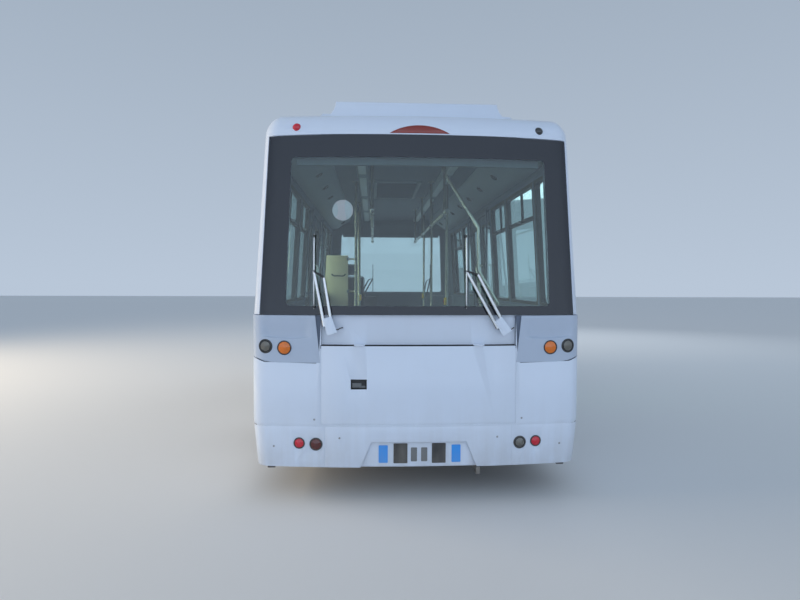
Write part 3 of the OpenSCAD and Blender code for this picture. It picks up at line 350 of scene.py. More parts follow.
DIAL = surface("dial_face", (0.02, 0.02, 0.022), 0.12, 40, 0.0, 0.0, coat=0.8)
BEIGE = surface("panel_beige", (0.8, 0.69, 0.5), 0.5, 90, 0.15, 0.1, wear=0.2)
RAIL = surface("rail_steel", (0.74, 0.71, 0.6), 0.24, 300, 0.05, 0.0, metal=0.85, wear=0.2)
DUCT = surface("duct_grey", (0.3, 0.34, 0.4), 0.55, 180, 0.2, 0.0)
RED = lens_plastic("lamp_red", (0.7, 0.014, 0.04), 0.15)
SMOKE_RED = lens_plastic("lamp_smoked_red", (0.13, 0.022, 0.02), 0.25)
ARC_RED = lens_plastic("lamp_arc_red", (0.3, 0.022, 0.012), 0.2)
AMBER = lens_plastic("lamp_amber", (0.86, 0.2, 0.012), 0.15)
CLEAR = lens_plastic("lamp_clear", (0.34, 0.31, 0.27), 1.0, rough=0.02)
SMOKE = lens_plastic("lamp_smoke", (0.05, 0.055, 0.06), 0.4)
BOWL = surface("lamp_bowl", (0.17, 0.14, 0.11), 0.2, 50, 0.05, 0.0, metal=0.9, wear=0.2)
RING = surface("lamp_black", (0.02, 0.021, 0.023), 0.3, 300, 0.1, 0.3, coat=0.3)
PLATE_BLUE = surface("plate_blue", (0.02, 0.32, 0.9), 0.32, 200, 0.05, 0.5)
PLATE_BLACK = surface("plate_black", (0.025, 0.026, 0.03), 0.32, 200, 0.05, 0.5)
PLATE_GREY = surface("plate_grey", (0.15, 0.16, 0.17), 0.36, 200, 0.05, 0.5)
STICKER = surface("sticker_pale", (0.8, 0.74, 0.77), 0.5, 300, 0.02, 0.0, wear=0.1)
MIRROR = surface("mirror_face", (0.86, 0.88, 0.9), 0.03, 20, 0.0, 0.0, metal=1.0, wear=0.05)


# Making pieces.
def evaluated(obj):
    """The plain mesh that an object's modifiers give; the object goes."""
    mesh = bpy.data.meshes.new_from_object(obj.evaluated_get(bpy.context.evaluated_depsgraph_get()))
    bpy.data.objects.remove(obj)
    return mesh


def linked(name, mesh):
    """A new object in the scene."""
    obj = bpy.data.objects.new(name, mesh)
    SCENE.collection.objects.link(obj)
    return obj


def softened(mesh, turn):
    """Smooth shading with sharp edges where faces turn by more than an angle."""
    mesh.shade_smooth()
    mesh.set_sharp_from_angle(angle=math.radians(turn))


def painted(mesh, material):
    """The mesh, all in one material."""
    mesh.materials.clear()
    mesh.materials.append(material)
    mesh.polygons.foreach_set("material_index", [0] * len(mesh.polygons))
    return mesh


def to_mesh(form, turn_out=True):
    """A mesh from a form, with its faces turned outward if asked."""
    if turn_out:
        bmesh.ops.recalc_face_normals(form, faces=form.faces)
    mesh = bpy.data.meshes.new("form")
    form.to_mesh(mesh)
    form.free()
    return mesh


def joined(parts):
    """One mesh from several, each with its own material kept."""
    form = bmesh.new()
    materials = []
    for part in parts:
        start = len(materials)
        materials.extend(part.materials)
        before = len(form.faces)
        form.from_mesh(part)
        form.faces.ensure_lookup_table()
        for face in form.faces[before:]:
            face.material_index += start
    mesh = to_mesh(form, False)
    for material in materials:
        mesh.materials.append(material)
    return mesh


def placed(mesh, matrix):
    """The mesh moved by a matrix; a mirrored one keeps its faces outward."""
    mesh.transform(matrix)
    if matrix.determinant() < 0:
        mesh.flip_normals()
    return mesh


def add_piece(name, mesh, material, replaced=(), turn=30, body="body"):
    """Links a finished mesh, or a list of them, as a piece that rides on a body and stands for some CAD nodes."""
    mesh = joined(mesh) if isinstance(mesh, list) else mesh
    if material is not None:
        painted(mesh, material)
    softened(mesh, turn)
    obj = linked(name, mesh)
    if replaced:
        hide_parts(*replaced)
    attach(obj, body)
    return obj


def finished(mesh, *modifiers):
    """The mesh with modifiers applied: each is (type, {setting: value})."""
    obj = linked("unfinished", mesh)
    for kind, settings in modifiers:
        modifier = obj.modifiers.new(kind, kind)
        for key, value in settings.items():
            setattr(modifier, key, value)
    return evaluated(obj)


def edge_bevel(width, segments, turn):
    """A modifier that rounds the edges sharper than an angle in degrees."""
    return "BEVEL", {"width": width, "segments": segments, "limit_method": "ANGLE",
                     "angle_limit": math.radians(turn), "use_clamp_overlap": True}


def bored(mesh, cutter):
    """The mesh with another mesh cut out of it."""
    tool = linked("cutter", cutter)
    mesh = finished(mesh, ("BOOLEAN", {"operation": "DIFFERENCE", "object": tool, "solver": "EXACT"}))
    bpy.data.objects.remove(tool)
    return mesh


def cad_mesh(node, flatten=True):
    """A merged copy of a CAD node's mesh, in the row frame, with its flat faces joined."""
    source = NODES[node]
    form = bmesh.new()
    form.from_mesh(source.data)
    form.transform(source.matrix_world)
    bmesh.ops.remove_doubles(form, verts=form.verts, dist=2e-5)
    if flatten:
        bmesh.ops.dissolve_limit(form, angle_limit=math.radians(0.3), verts=form.verts, edges=form.edges)
    return to_mesh(form, False)


SKIN_DEPTH, LOOK_AHEAD = 0.014, 0.004


def dress(node, material, bevel=0.0, lining=None):
    """A CAD node with its edges rounded and its curves smooth, and its inner faces in the lining's finish."""
    mesh = cad_mesh(node, flatten=bevel > 0)
    if bevel:
        softened(mesh, 30)
        mesh = finished(mesh, edge_bevel(bevel, 2, 34))
    if lining is not None:
        painted(mesh, material)
        mesh.materials.append(lining)
        for polygon in mesh.polygons:
            depth = depth_in(polygon.center)
            faces_out = depth_in(polygon.center + polygon.normal * LOOK_AHEAD) < depth - LOOK_AHEAD / 2
            polygon.material_index = 1 if depth > SKIN_DEPTH and not faces_out else 0
        material = None
    return add_piece(node + "_skin", mesh, material, (node,), body=BODY_OF[node])


def block(low, high, bevel=0.0, segments=2):
    """A box with rounded edges between two corners."""
    form = bmesh.new()
    bmesh.ops.create_cube(form, size=1.0)
    size = [high[i] - low[i] for i in range(3)]
    for vert in form.verts:
        vert.co = Vector([low[i] + (vert.co[i] + 0.5) * size[i] for i in range(3)])
    if bevel:
        bmesh.ops.bevel(form, geom=list(form.edges), offset=min(bevel, min(size) * 0.45), segments=segments,
                        affect="EDGES", profile=0.5)
    return to_mesh(form)


def bridge(form, rings, around=False):
    """Faces between each ring of points and the next; a ring may be a single point."""
    for one, two in zip(rings, rings[1:] + (rings[:1] if around else [])):
        count = max(len(one), len(two))
        for k in range(count):
            n = (k + 1) % count
            corners = [one[k % len(one)], one[n % len(one)], two[n % len(two)], two[k % len(two)]]
            unique = list(dict.fromkeys(corners))
            if len(unique) > 2:
                form.faces.new(unique)


def cap_ends(form, rings):
    """Closes a swept form with its first and last rings."""
    for ring in (rings[0], rings[-1]):
        if len(ring) > 1:
            form.faces.new(ring)


def lathe(profile, steps=48, axis="Y"):
    """A closed turned form: profile is (radius, along) from end to end; the axis is X, Y or Z."""
    form = bmesh.new()
    rings = [[form.verts.new((radius * math.cos(a), radius * math.sin(a), along))
              for a in (angles(steps) if radius > 1e-6 else [0.0])] for radius, along in profile]
    bridge(form, rings)
    if profile[0] != profile[-1]:
        cap_ends(form, rings)
    elif len(rings[0]) > 1:
        bmesh.ops.remove_doubles(form, verts=form.verts, dist=1e-6)
    form.transform({"X": turned(90, "Y"), "Y": turned(90, "X"), "Z": Matrix.Identity(4)}[axis])
    return to_mesh(form)


def tube(points, radius, sides=12):
    """A round tube along a line of points; the radius may be a list."""
    form = bmesh.new()
    rings = []
    points = [Vector(p) for p in points]
    guide = None
    for i, point in enumerate(points):
        ahead = (points[min(i + 1, len(points) - 1)] - points[max(i - 1, 0)]).normalized()
        if guide is None:
            guide = ahead.orthogonal().normalized()
        guide = (guide - ahead * guide.dot(ahead)).normalized()
        other = ahead.cross(guide)
        size = radius[i] if isinstance(radius, list) else radius
        rings.append([form.verts.new(point + guide * size * math.cos(a) + other * size * math.sin(a))
                      for a in angles(sides)])
    bridge(form, rings)
    cap_ends(form, rings)
    return to_mesh(form)


def corner_loop(u0, w0, u1, w1, spot, out):
    """A rectangle's corners as a loop for a strip; spot puts a pair of places across it in space."""
    return [(spot(u, w), Vector(spot(s, t)) - Vector(spot(0, 0)), out)
            for u, w, s, t in ((u0, w0, -1, -1), (u1, w0, 1, -1), (u1, w1, 1, 1), (u0, w1, -1, 1))]


def strip(loop, section, closed=True):
    """Sweeps a section round a loop. loop: (point, outward from the loop's middle, out of the surface)."""
    form = bmesh.new()
    rings = [[form.verts.new(Vector(point) + Vector(across) * u + Vector(out) * v) for u, v in section]
             for point, across, out in loop]
    bridge(form, rings, closed)
    if not closed:
        cap_ends(form, rings)
    return to_mesh(form)


# Geometry nodes.
def geometry_tree(name, inputs):
    """A tree with its sockets, and the piece that it copies."""
    tree = bpy.data.node_groups.new(name, "GeometryNodeTree")
    tree.interface.new_socket("Geometry", in_out="OUTPUT", socket_type="NodeSocketGeometry")
    for label, kind in {"Piece": "Object", "Count": "Int", **inputs, "Material": "Material"}.items():
        tree.interface.new_socket(label, in_out="INPUT", socket_type="NodeSocket" + kind)
    given = tree.nodes.new("NodeGroupInput").outputs
    piece = wire(tree, "GeometryNodeObjectInfo", {"Object": given["Piece"]}).outputs["Geometry"]
    return tree, given, piece


def end_tree(tree, given, geometry):
    """Every tree ends with its instances made real and its material set."""
    real = wire(tree, "GeometryNodeRealizeInstances", {0: geometry}).outputs[0]
    dyed = wire(tree, "GeometryNodeSetMaterial", {"Geometry": real, "Material": given["Material"]})
    fill(tree, tree.nodes.new("NodeGroupOutput"), {"Geometry": dyed.outputs[0]})
    return tree


def build_row():
    """Copies of a piece along a line."""
    tree, given, piece = geometry_tree("row_of_pieces", {"Start": "Vector", "Step": "Vector"})
    line = wire(tree, "GeometryNodeMeshLine", {"Count": given["Count"], "Start Location": given["Start"],
                                               "Offset": given["Step"]})
    spread = wire(tree, "GeometryNodeInstanceOnPoints", {"Points": line.outputs[0], "Instance": piece})
    return end_tree(tree, given, spread.outputs[0])


def build_ring():
    """Copies of a piece round Z, each turned outward."""
    tree, given, piece = geometry_tree("ring_of_pieces", {"Radius": "Float"})
    circle = wire(tree, "GeometryNodeMeshCircle", {"Vertices": given["Count"], "Radius": given["Radius"]})
    outward = wire(tree, "FunctionNodeAlignRotationToVector",
                   {"Vector": wire(tree, "GeometryNodeInputPosition").outputs[0]}, axis="X")
    spread = wire(tree, "GeometryNodeInstanceOnPoints",
                  {"Points": circle.outputs[0], "Instance": piece, "Rotation": outward.outputs[0]})
    return end_tree(tree, given, spread.outputs[0])


ROW, RING_TREE = build_row(), build_ring()


def grown(tree, piece, material, **sizes):
    """Runs a tree on a small mesh and gives back the plain mesh that it makes."""
    part, host = linked("part", piece), linked("host", bpy.data.meshes.new("host"))
    modifier = host.modifiers.new("grow", "NODES")
    modifier.node_group = tree
    values = {"piece": part, "material": material, **sizes}
    for item in tree.interface.items_tree:
        if item.in_out == "INPUT":
            modifier[item.identifier] = values[item.name.lower()]
    mesh = evaluated(host)
    bpy.data.objects.remove(part)
    return painted(mesh, material)


# Panels, walls, roof.
for node in ("side_wall_left", "side_wall_right", "roof", "rear_face", "front_face"):
    dress(node, SKY_SHADED_WHITE, bevel=0.0025, lining=SHADED_LINING)
for node in ("rear_bumper", "front_bumper", "rear_hatch", "front_flap"):
    dress(node, SKY_SHADED_WHITE, bevel=0.0025, lining=CHASSIS)
for side, _ in SIDES:
    for end, _ in ENDS:
        dress("door_%s_%s" % (side, end), SKY_SHADED_WHITE, bevel=0.003, lining=SHADED_LINING)
        dress("door_glass_%s_%s" % (side, end), SIDE_GLASS)
    dress("side_glass_" + side, SIDE_GLASS)
    dress("knuckle_" + side, STEEL, bevel=0.002)
    for end, _ in ENDS:
        dress("wheel_%s_%s" % (end, side), WHEEL, bevel=0.003)
for node in ("floor", "wheel_boxes", "engine_cover", "cab_step"):
    dress(node, FLOOR, bevel=0.003)
for node in ("chassis_frame", "rear_frame", "front_axle", "rear_axle", "tow_eyes"):
    dress(node, CHASSIS, bevel=0.003)
dress("engine", IRON, bevel=0.02)
dress("dashboard", DASH, bevel=0.012)
dress("steering_wheel", BLACK_PLASTIC, bevel=0.003)
dress("cab_partition", BEIGE, bevel=0.004)
dress("handrails", RAIL)
dress("ceiling_ducts", DUCT, bevel=0.006)
dress("passenger_seats", SHELL, bevel=0.012)
for node in ("fuel_tank", "silencer", "propeller_shaft"):
    dress(node, STEEL if node == "silencer" else CHASSIS, bevel=0.003)
dress("lamp_rings", RING, bevel=0.0025)
dress("mirrors", BLACK_PLASTIC, bevel=0.012)


# Windscreens.
def rounded_outline(corners, radius, steps=5):
    """A convex outline with its corners rounded, as points in X and Z."""
    points = []
    count = len(corners)
    for i, corner in enumerate(corners):
        here = Vector(corner)
        before, after = (Vector(corners[(i + k) % count]) - here for k in (-1, 1))
        half = before.angle(after) / 2
        reach = radius / math.tan(half)
        start, stop = here + before.normalized() * reach, here + after.normalized() * reach
        centre = here + (before.normalized() + after.normalized()).normalized() * radius / math.sin(half)
        for k in range(steps + 1):
            t = k / steps
            spot = start.lerp(stop, t) - centre
            points.append(tuple(centre + spot.normalized() * radius))
    return points


def rect(u0, w0, u1, w1, radius=0.0):
    """A rectangle as an outline, with rounded corners if asked."""
    corners = [(u0, w0), (u1, w0), (u1, w1), (u0, w1)]
    return rounded_outline(corners, radius, 4) if radius else corners


def inside(outline, x, z):
    """Whether a place lies within a convex outline."""
    return all((x2 - x1) * (z - z1) - (z2 - z1) * (x - x1) > -1e-7
               for (x1, z1), (x2, z2) in zip(outline, outline[1:] + outline[:1]))


def cut_across(form, place, away, drop=False):
    """Cuts a form by a plane, and drops what lies beyond it if asked."""
    bmesh.ops.bisect_plane(form, geom=form.verts[:] + form.edges[:] + form.faces[:], plane_co=place, plane_no=away,
                           clear_outer=drop)


def sheet(outer, hole, outside, inside_depth, place=rear_place, step=0.045, rows=(HIP_Z, BELT_Z, BELT_Z + 0.001)):
    """A sheet on the skin between two depths, inside one outline and outside another."""
    xs, zs = [p[0] for p in outer], [p[1] for p in outer]
    form = bmesh.new()
    nx, nz = (max(2, math.ceil((max(v) - min(v)) / step)) for v in (xs, zs))
    grid = [[form.verts.new((min(xs) + (max(xs) - min(xs)) * i / nx, 0, min(zs) + (max(zs) - min(zs)) * j / nz))
             for j in range(nz + 1)] for i in range(nx + 1)]
    for i in range(nx):
        for j in range(nz):
            form.faces.new((grid[i][j], grid[i + 1][j], grid[i + 1][j + 1], grid[i][j + 1]))

    def cut(outline, drop):
        for (x1, z1), (x2, z2) in zip(outline, outline[1:] + outline[:1]):
            away = Vector((z2 - z1, 0, -(x2 - x1)))
            if away.length > 1e-6:
                cut_across(form, (x1, 0, z1), away.normalized(), drop)
    cut(outer, True)
    if hole:
        cut(hole, False)
        doomed = [f for f in form.faces if inside(hole, f.calc_center_median().x, f.calc_center_median().z)]
        bmesh.ops.delete(form, geom=doomed, context="FACES")
    for row in rows:
        if min(zs) < row < max(zs):
            cut_across(form, (0, 0, row), (0, 0, 1))
    bmesh.ops.remove_doubles(form, verts=form.verts, dist=1e-5)
    bmesh.ops.recalc_face_normals(form, faces=form.faces)
    front = {v: v.co.copy() for v in form.verts}
    pairs = bmesh.ops.duplicate(form, geom=form.verts[:] + form.edges[:] + form.faces[:])["vert_map"]
    rim = [e for e in form.edges if e.is_boundary and e.verts[0] in front and e.verts[1] in front]
    for vert, flat in front.items():
        vert.co = place(flat.x, flat.z, outside)
        pairs[vert].co = place(flat.x, flat.z, inside_depth)
    for edge in rim:
        a, b = edge.verts
        form.faces.new((a, b, pairs[b], pairs[a]))
    return to_mesh(form)


SCREEN_X, SCREEN_TOP_X, SCREEN_TOP_Z, ARCH = 1.205, 1.205 - SIDE_LEAN * 0.78, CANT_Z - 0.014, 0.014
SCREEN_T = 0.008
SCREEN_TOP = [(SCREEN_TOP_X * u, min(SCREEN_TOP_Z + ARCH * (1 - u**2), CANT_Z - 0.0015))
              for u in (1 - i / 5 for i in range(11))]
SCREEN = [(-SCREEN_X, BELT_Z + 0.002), (SCREEN_X, BELT_Z + 0.002)] + SCREEN_TOP
DAYLIGHT = rounded_outline(mm("-1009 1476, 1009 1476, 967 2598, -967 2598"), 0.035)
for end, turn in BOTH_ENDS:
    for kind, pane, material in (("border", sheet(SCREEN, DAYLIGHT, 0, SCREEN_T), BLACK_BAND),
                                 ("glass", sheet(DAYLIGHT, None, 0, SCREEN_T, step=0.12), GLASS)):
        add_piece("%s_screen_%s" % (end, kind), placed(pane, turn), material, (end + "_windscreen",))


# Lamps.
LAMPS = [  # half place across, height, lens radius, finish at the rear left, at the rear right, at the front
    (1.16, 1.17, 0.046, CLEAR, CLEAR, CLEAR), (1.016, 1.16, 0.046, AMBER, AMBER, AMBER),
    (0.905, 0.438, 0.034, RED, RED, AMBER), (0.778, 0.432, 0.04, SMOKE_RED, CLEAR, CLEAR)]
CORNER_TUCK, CORNER_TURN = 0.006, 8  # metres and degrees, for a lamp that sits where the end turns into the side
LENS_RIBS, LENS_DOME = 5, 0.009


def lamp_frame(x, z):
    """Place of a lamp in the rear end: Z out of the face, at the lens seat."""
    tuck = SKIRT_IN / 3 * (HIP_Z - z) / (HIP_Z - SKIRT_Z) if z < HIP_Z else 0
    cornered = abs(x) > HALF_W - CORNER_R
    out = HALF_L - tuck - sag(x) - (CORNER_TUCK if cornered else 0)
    turn = math.asin(x / BIG_R) + (math.copysign(math.radians(CORNER_TURN), x) if cornered else 0)
    return at(x, -out, z) @ Matrix.Rotation(turn, 4, "Z") @ turned(90, "X")


def ribbed_lens(radius):
    """A domed lens with rings moulded in its face, open towards the bowl."""
    profile = [(radius, -0.024), (radius, 0.002)]
    for k in range(LENS_RIBS, 0, -1):
        r1, r0 = radius * (k - 0.12) / LENS_RIBS, radius * (k - 0.55) / LENS_RIBS
        rise = LENS_DOME * (1 - (r1 / radius) ** 2) + 0.003
        profile += [(r1, rise), (r0, rise + 0.0012)]
    profile += [(0.0, LENS_DOME + 0.0045), (0.0, -0.001), (radius * 0.9, -0.003), (radius * 0.9, -0.024),
                (radius, -0.024)]
    return lathe(profile, 48, "Z")


def lamp_bowl(radius):
    """Reflector behind a lens."""
    return lathe([(radius * 0.86, -0.006), (radius * 0.7, -0.017), (radius * 0.42, -0.025), (0.0, -0.027),
                  (0.0, -0.0295), (radius * 0.88, -0.0295), (radius * 0.86, -0.006)], 40, "Z")


def lamp_bulb(radius):
    """Bulb in the middle of its bowl."""
    return lathe([(0.0, -0.026), (radius * 0.2, -0.026), (radius * 0.2, -0.016), (radius * 0.14, -0.007),
                  (0.0, -0.005)], 20, "Z")


def lamp_bezel(radius):
    """Dark edge of a clear lamp."""
    return lathe([(radius * 0.8, -0.01), (radius * 0.985, -0.004), (radius * 0.985, 0.0035),
                  (radius * 0.86, 0.0065), (radius * 0.8, 0.0045), (radius * 0.8, -0.01)], 48, "Z")


lens_meshes, bowls, bulbs, bezels = {}, [], [], []
for x, z, radius, *finishes in LAMPS:
    for end, turn in BOTH_ENDS:
        for k in (-1, 1):
            finish = finishes[2 if end == "front" else k > 0]
            place = turn @ lamp_frame(k * x, z)
            lens_meshes.setdefault(finish.name, []).append(placed(ribbed_lens(radius), place))
            bowls.append(placed(lamp_bowl(radius), place))
            bulbs.append(painted(placed(lamp_bulb(radius), place), STEEL if finish is CLEAR else AMBER))
            if finish is CLEAR:
                bar = block((-radius * 0.5, -0.002, -0.02), (radius * 0.5, 0.002, -0.012), 0.001)
                bezels += [placed(lamp_bezel(radius), place), placed(bar, place)]
for name, meshes in lens_meshes.items():
    node = {"lamp_amber": "amber_lamps", "lamp_clear": "clear_lamps"}.get(name, "red_lamps")
    add_piece(name + "_lenses", meshes, bpy.data.materials[name], (node,), 24)
add_piece("lamp_bowls", bowls, BOWL)
add_piece("lamp_bezels", bezels, RING)
for material in (STEEL, AMBER):
    add_piece("lamp_bulbs_" + material.name, [b for b in bulbs if b.materials[0] == material], material)


# Lamp pods.
CREASE_Z, SCOOP_DEPTH, POD_END_X = 1.227, 0.016, 1.236
POD_OUTLINE = [(0.744, 1.0485), (1.06, 1.0485), (1.12, 1.0525), (1.175, 1.062), (POD_END_X, 1.082),
               (POD_END_X, BELT_Z - 0.0025), (0.783, BELT_Z - 0.0025)]


def smooth(value, low, high):
    """Soft step from 0 at low to 1 at high."""
    t = min(max((value - low) / (high - low), 0.0), 1.0)
    return t * t * (3 - 2 * t)


def scoop(x, z):
    """How deep the hollow over the crease lies: sharp at the crease, soft at its two ends and its top."""
    x = abs(x)
    crease = CREASE_Z - 0.004 + 0.02 * ((x - 0.99) / 0.22) ** 2
    rise = (z - crease) / (BELT_Z - crease)
    if rise <= 0:
        return 0.0
    inner = smooth(x, 0.815 - 0.03 * rise, 0.87 - 0.03 * rise)
    outer = 1 - smooth(x, 1.13 + 0.03 * rise, 1.2 + 0.03 * rise)
    return SCOOP_DEPTH * smooth(z, crease, crease + 0.016) * inner * outer * (1 - 0.8 * smooth(rise, 0.1, 1.0))


def pod_place(x, z, depth):
    """Place on a pod: the skin, with the hollow pressed in."""
    return rear_place(x, z, depth + (scoop(x, z) if depth < 0.01 else 0.0))


def pod_mesh():
    """The face of one pod: a sheet with its hollow and two lamp holes."""
    rows = tuple(CREASE_Z - 0.01 + 0.0035 * k for k in range(14))
    mesh = sheet(POD_OUTLINE, None, -0.0006, 0.028, pod_place, step=0.018, rows=rows)
    for x, z, radius, *_ in LAMPS[:2]:
        hole = lathe([(0.0, -0.08), (radius + 0.0085, -0.08), (radius + 0.0085, 0.08), (0.0, 0.08)], 48, "Z")
        mesh = bored(mesh, placed(hole, lamp_frame(x, z)))
    return mesh


def pod_corners():
    """The part of the CAD pods that runs on round the corners."""
    form = bmesh.new()
    form.from_mesh(cad_mesh("lamp_pods"))
    for _, s in SIDES:
        cut_across(form, (s * (POD_END_X - 0.001), 0, 0), (s, 0, 0))
    doomed = [v for v in form.verts if abs(v.co.x) < POD_END_X - 0.0012]
    bmesh.ops.delete(form, geom=doomed, context="VERTS")
    bmesh.ops.holes_fill(form, edges=[e for e in form.edges if e.is_boundary])
    return to_mesh(form)


add_piece("pod_corners", pod_corners(), POD_SHADED_WHITE, ("lamp_pods",), 24)
one_pod = pod_mesh()
for end, turn in BOTH_ENDS:
    faces = [placed(one_pod.copy(), turn @ mirrored(s)) for s in (-1, 1)]
    add_piece(end + "_pod_faces", faces, POD_SHADED_WHITE, ("lamp_pods",), 40)

# Painted shade: a dark sheet where each pod's side wall lies in shadow beside the wiper panel.
painted_shade_wedge = sheet(mm("739 1050, 744.5 1050, 783.5 1404, 739.5 1404"), None, 0.01, 0.016)
for end, turn in BOTH_ENDS:
    both = [placed(painted_shade_wedge.copy(), turn @ mirrored(s)) for s in (-1, 1)]
    add_piece(end + "_pod_joints", both, SHADED_LINING)

# Filled joints: paint in the seams of the bumper and round the lid's lower edges.
BUMPER_Z, BUMPER_X, LID_X, LID_Z0, LID_Z1, SEAM, CLOSE = 0.564, 0.711, 0.738, 0.585, 1.176, 0.005, 0.0003
LID_DEPTHS = (0.0018, 0.01)
for end, turn in BOTH_ENDS:
    fills = [sheet(rect(-HALF_W + 0.001, BUMPER_Z - CLOSE, HALF_W - 0.001, BUMPER_Z + SEAM + CLOSE), None,
                   0.0007, 0.008)]
    for s in (-1, 1):
        upright = rect(s * BUMPER_X - 0.0022, SKIRT_Z + 0.002, s * BUMPER_X + 0.0022, BUMPER_Z - 0.0005)
        near, far = sorted((s * (LID_X + CLOSE), s * (LID_X + SEAM + CLOSE)))
        fills += [sheet(upright, None, 0.001, 0.008),
                  sheet(rect(near, LID_Z0 - SEAM, far, LID_Z1 - 0.02), None, *LID_DEPTHS)]
    fills.append(sheet(rect(-LID_X, LID_Z0 - SEAM - CLOSE, LID_X, LID_Z0 - CLOSE), None, *LID_DEPTHS))
    add_piece(end + "_seam_fills", placed(joined(fills), turn), SKY_SHADED_WHITE, turn=40)


def marker_mesh(s, turn):
    """A round marker lamp on the roof's edge."""
    place = (at(s * 0.927, -HALF_L + BELT_IN + FACE_LEAN + 0.082, CANT_Z + 0.052)
             @ turned(s * 14, "Z") @ turned(64, "X"))
    curve = [(0.0358 * math.cos(a), 0.004 + 0.0315 * math.sin(a)) for a in (0.3, 0.6, 0.9, 1.2)]
    return placed(lathe(mm("0 -4, 35.8 -4, 35.8 4") + curve + [(0.0, 0.0355)], 36, "Z"), turn @ place)


REAR_TURN, FRONT_TURN = (turn for _, turn in BOTH_ENDS)
add_piece("marker_red", marker_mesh(-1, REAR_TURN), RED, ("red_lamps",))
add_piece("marker_smoke", marker_mesh(1, REAR_TURN), SMOKE, ("red_lamps",))
add_piece("markers_amber", [marker_mesh(s, FRONT_TURN) for s in (-1, 1)], AMBER, ("amber_lamps",))
ARC_W, ARC_H, ARC_Z = 0.453, 0.064, CANT_Z + 0.008
arc_r = (ARC_W**2 / 4 + ARC_H**2) / (2 * ARC_H)
half_angle = math.asin(ARC_W / 2 / arc_r)
arc_outline = [(arc_r * math.sin(a), ARC_Z + ARC_H - arc_r + arc_r * math.cos(a))
               for a in (half_angle * (1 - k / 10) for k in range(21))]


def roof_edge_y(z):
    """How far the roof's edge reaches out over the windscreen, in the middle."""
    rise = min(max((z - CANT_Z) / ROOF_R, 0), 1)
    return HALF_L - BELT_IN - FACE_LEAN - ROOF_R * (1 - math.sqrt(1 - rise**2))


def arc_lamp():
    """The arched lamp over the screen: shrinking copies of its outline, with a rib along its edge."""
    form = bmesh.new()
    rings = []
    middle_z = ARC_Z + 0.022
    for scale, depth in ((1.0, -0.01), (1.0, 0.001), (0.97, 0.0026), (0.8, 0.003), (0.78, 0.0022), (0.4, 0.003),
                         (0.0, 0.003)):
        spots = [(x * scale, middle_z + (z - middle_z) * scale) for x, z in arc_outline]
        rings.append([form.verts.new((x, -roof_edge_y(z) + sag(x) - depth, z)) for x, z in spots])
    bridge(form, rings)
    form.faces.new(rings[0])
    bmesh.ops.remove_doubles(form, verts=form.verts, dist=1e-5)
    return to_mesh(form)


add_piece("high_lamp", arc_lamp(), ARC_RED, ("red_lamps",))

# Wipers.
WIPER_Z, BLADE_H, RUBBER_BACK = 1.308, 0.56, Vector((0, 0.008, 0))
WIPERS = mm("-664 -791 1735, 641 352 1739")  # each hub's place across, its head's place across and height


def off_face(x, z, gap):
    """Place in front of the rear face by a gap."""
    lean = BELT_IN + FACE_LEAN * (z - BELT_Z) / (CANT_Z - BELT_Z) if z > BELT_Z else 0
    return Vector((x, -(HALF_L - lean - sag(x)) - gap, z))


def flat_bar(a, b, wide_a, wide_b, thick):
    """A tapered bar of rounded rectangular section that lies along the face."""
    along = (b - a).normalized()
    out = Vector((0, -1, 0))
    across = along.cross(out).normalized()
    out = across.cross(along).normalized()
    section = ((-1, -0.6), (-0.8, -1), (0.8, -1), (1, -0.6), (1, 0.5), (0.6, 1), (-0.6, 1), (-1, 0.5))
    form = bmesh.new()
    rings = [[form.verts.new(point + across * u * wide / 2 + out * v * thick / 2) for u, v in section]
             for point, wide in ((a, wide_a), (b, wide_b))]
    bridge(form, rings)
    cap_ends(form, rings)
    return to_mesh(form)


def wiper_meshes(turn):
    """Both wipers of one end: pale bars, dark parts and caps."""
    pale, dark, caps = [], [], []
    for x, head_x, head_z in WIPERS:
        hub, head = off_face(x, WIPER_Z, 0.03), off_face(head_x, head_z, 0.03)
        spindle = lathe(mm("0 0, 20 0, 20 8, 14 12, 12 42, 16 46, 16 58, 12 62, 0 62"), 24, "Z")
        dark.append(placed(spindle, at(*off_face(x, WIPER_Z, -0.027)) @ turned(90, "X")))
        along = (head - hub).normalized()
        across = Vector((along.z, 0, -along.x))
        lift = Vector((0, -0.004, 0))
        caps.append(flat_bar(hub - along * 0.04 + lift, hub + along * 0.088 + lift, 0.078, 0.064, 0.016))
        low_rod, high_rod = hub + along * 0.03 - across * 0.04, hub + along * 0.07 + across * 0.02
        top_rod = head + across * 0.058 - along * 0.066
        pale.append(flat_bar(low_rod, head, 0.021, 0.018, 0.012))
        pale.append(flat_bar(high_rod, top_rod, 0.021, 0.018, 0.012))
        dark.append(flat_bar(low_rod - along * 0.006, hub + along * 0.03, 0.018, 0.018, 0.01))
        dark.append(flat_bar(head, top_rod, 0.016, 0.014, 0.013))
        for rod, stop in ((low_rod, head), (high_rod, top_rod)):
            dark.append(flat_bar(rod + RUBBER_BACK, stop + RUBBER_BACK, 0.027, 0.023, 0.006))
        # Blade: a pale spine with claws that hold the rubber.
        low = head_z - BLADE_H / 2
        spine = [off_face(head_x, low + BLADE_H * k / 8, 0.013 + 0.011 * math.sin(math.pi * k / 8))
                 for k in range(9)]
        pale.append(tube(spine, [0.0035] + [0.006] * 7 + [0.0035], 10))
        for k in range(6):
            claw = off_face(head_x, low + 0.015 + (BLADE_H - 0.03) * k / 5, 0.016)
            dark.append(block(claw - Vector((0.007, 0.006, 0.009)), claw + Vector((0.007, 0.008, 0.009)), 0.002))
        dark.append(tube([off_face(head_x, low + BLADE_H * k / 12, 0.0065) for k in range(13)], 0.0062, 8))
        dark.append(tube([head, off_face(head_x, head_z, 0.014)], 0.008, 12))
        hose = [hub + Vector(step) for step in mm("20 10 -10, 55 12 -6, 75 30 4")]
        hose.append(off_face(x + 0.088, WIPER_Z + 0.004, -0.026))
        dark.append(tube(hose, 0.004, 8))
    return [placed(joined(group), turn) for group in (pale, dark, caps)]


